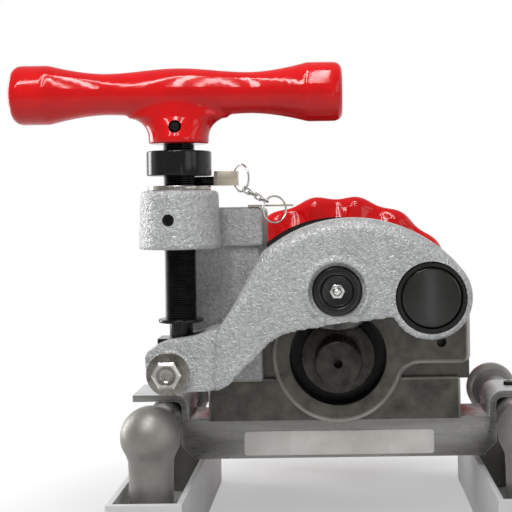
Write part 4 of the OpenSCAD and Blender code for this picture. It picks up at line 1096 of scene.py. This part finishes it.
# A pale round sweep: the floor, a bend and the wall
def buildSweep(spec):
    rows = [(0, 0, 0), (0, spec["wallAt"], spec["bend"]), (spec["wallHeight"], spec["wallAt"], 0)]
    floor = toPiece(turned(rows, (0, 0, 0), alongZ, 96, 12), "sweep")
    floor.data.shade_smooth()
    material, tree, shader = newMaterial("paleSweep")
    shader.inputs["Base Color"].default_value = (*[spec["tone"]] * 3, 1)
    shader.inputs["Roughness"].default_value = spec["roughness"]
    shader.inputs["Specular IOR Level"].default_value = spec["gloss"]
    glow = addNode(tree, "ShaderNodeEmission", Strength=1.0)
    mix = tree.nodes.new("ShaderNodeMixShader")
    share = combined(tree, "MULTIPLY", whiteRays(tree), whitePlaces(tree, spec))
    tree.links.new(share, mix.inputs["Fac"])
    tree.links.new(shader.outputs["BSDF"], mix.inputs[1])
    tree.links.new(glow.outputs["Emission"], mix.inputs[2])
    tree.links.new(mix.outputs["Shader"], tree.nodes["Material Output"].inputs["Surface"])
    floor.data.materials.append(material)


# A soft sky: bright overhead, grey round the sides
def buildWorld(spec):
    world = bpy.data.worlds.new("studioWorld")
    scene.world = world
    world.use_nodes = True
    tree = world.node_tree
    sky = tree.nodes["Background"]
    place = tree.nodes.new("ShaderNodeTexCoord")
    split = tree.nodes.new("ShaderNodeSeparateXYZ")
    tree.links.new(place.outputs["Generated"], split.inputs["Vector"])
    stops = list(zip(spec["skyStops"], (spec["horizon"], spec["zenith"])))
    tree.links.new(tones(tree, split.outputs["Z"], stops), sky.inputs["Color"])
    sky.inputs["Strength"].default_value = spec["worldStrength"]


# Lamps: name, place and aim in metres, width and height of the panel, power
lamps = [
    ("leftPanel", (-0.465, -0.72, 1.22), (-0.1, -0.05, 0.22), (0.055, 1.2), 4.4),
    ("midPanel", (-0.21, -0.72, 1.22), (-0.1, -0.05, 0.22), (0.09, 1.2), 6.8),
    ("rightPanel", (-0.03, -0.72, 1.22), (0.0, -0.05, 0.22), (0.035, 1.2), 2.9),
    ("leftRim", (-1.05, 0.40, 0.40), (-0.1, -0.05, 0.25), (0.35, 0.8), 7),
    ("rightFill", (1.15, -0.70, 0.60), (0.0, 0.0, 0.2), (0.35, 0.8), 1.2),
    ("lowFill", (0.80, -1.10, 0.40), (0.0, -0.03, 0.08), (0.5, 0.5), 1.2),
    ("frontStrip", (0.13, -0.88, 0.10), (0.06, -0.05, 0.16), (0.03, 0.3), 0.08),
]


def buildLamp(name, place, aim, size, power):
    data = bpy.data.lights.new(name, "AREA")
    data.shape = "RECTANGLE"
    data.size, data.size_y = size
    data.energy = power
    lamp = bpy.data.objects.new(name, data)
    lamp.location = place
    lamp.rotation_euler = (Vector(aim) - Vector(place)).to_track_quat("-Z", "Y").to_euler()
    scene.collection.objects.link(lamp)


view = {"photoSize": 512, "eyePixel": (336, 203), "pixelSize": 0.67, "distance": 700, "armFace": -91,
        "eyeHeight": 240, "roll": 0.8, "sensor": 36, "clip": (0.01, 50)}


def buildCamera(spec):
    data = bpy.data.cameras.new("photoCamera")
    eye = bpy.data.objects.new("photoCamera", data)
    scene.collection.objects.link(eye)
    data.sensor_width = spec["sensor"]
    focalPixels = spec["distance"] / spec["pixelSize"]
    data.lens = focalPixels / spec["photoSize"] * spec["sensor"]
    half = spec["photoSize"] / 2
    data.shift_x = (half - spec["eyePixel"][0]) / spec["photoSize"]
    data.shift_y = (spec["eyePixel"][1] - half) / spec["photoSize"]
    data.clip_start, data.clip_end = spec["clip"]
    eye.location = spot(0, spec["armFace"] - spec["distance"], spec["eyeHeight"])
    level = Matrix.Rotation(math.radians(90), 4, "X")
    roll = Matrix.Rotation(math.radians(-spec["roll"]), 4, "Z")
    eye.rotation_euler = (level @ roll).to_euler()
    scene.camera = eye


buildSweep(studio)
buildWorld(studio)
for lamp in lamps:
    buildLamp(*lamp)
buildCamera(view)
print("studio set")
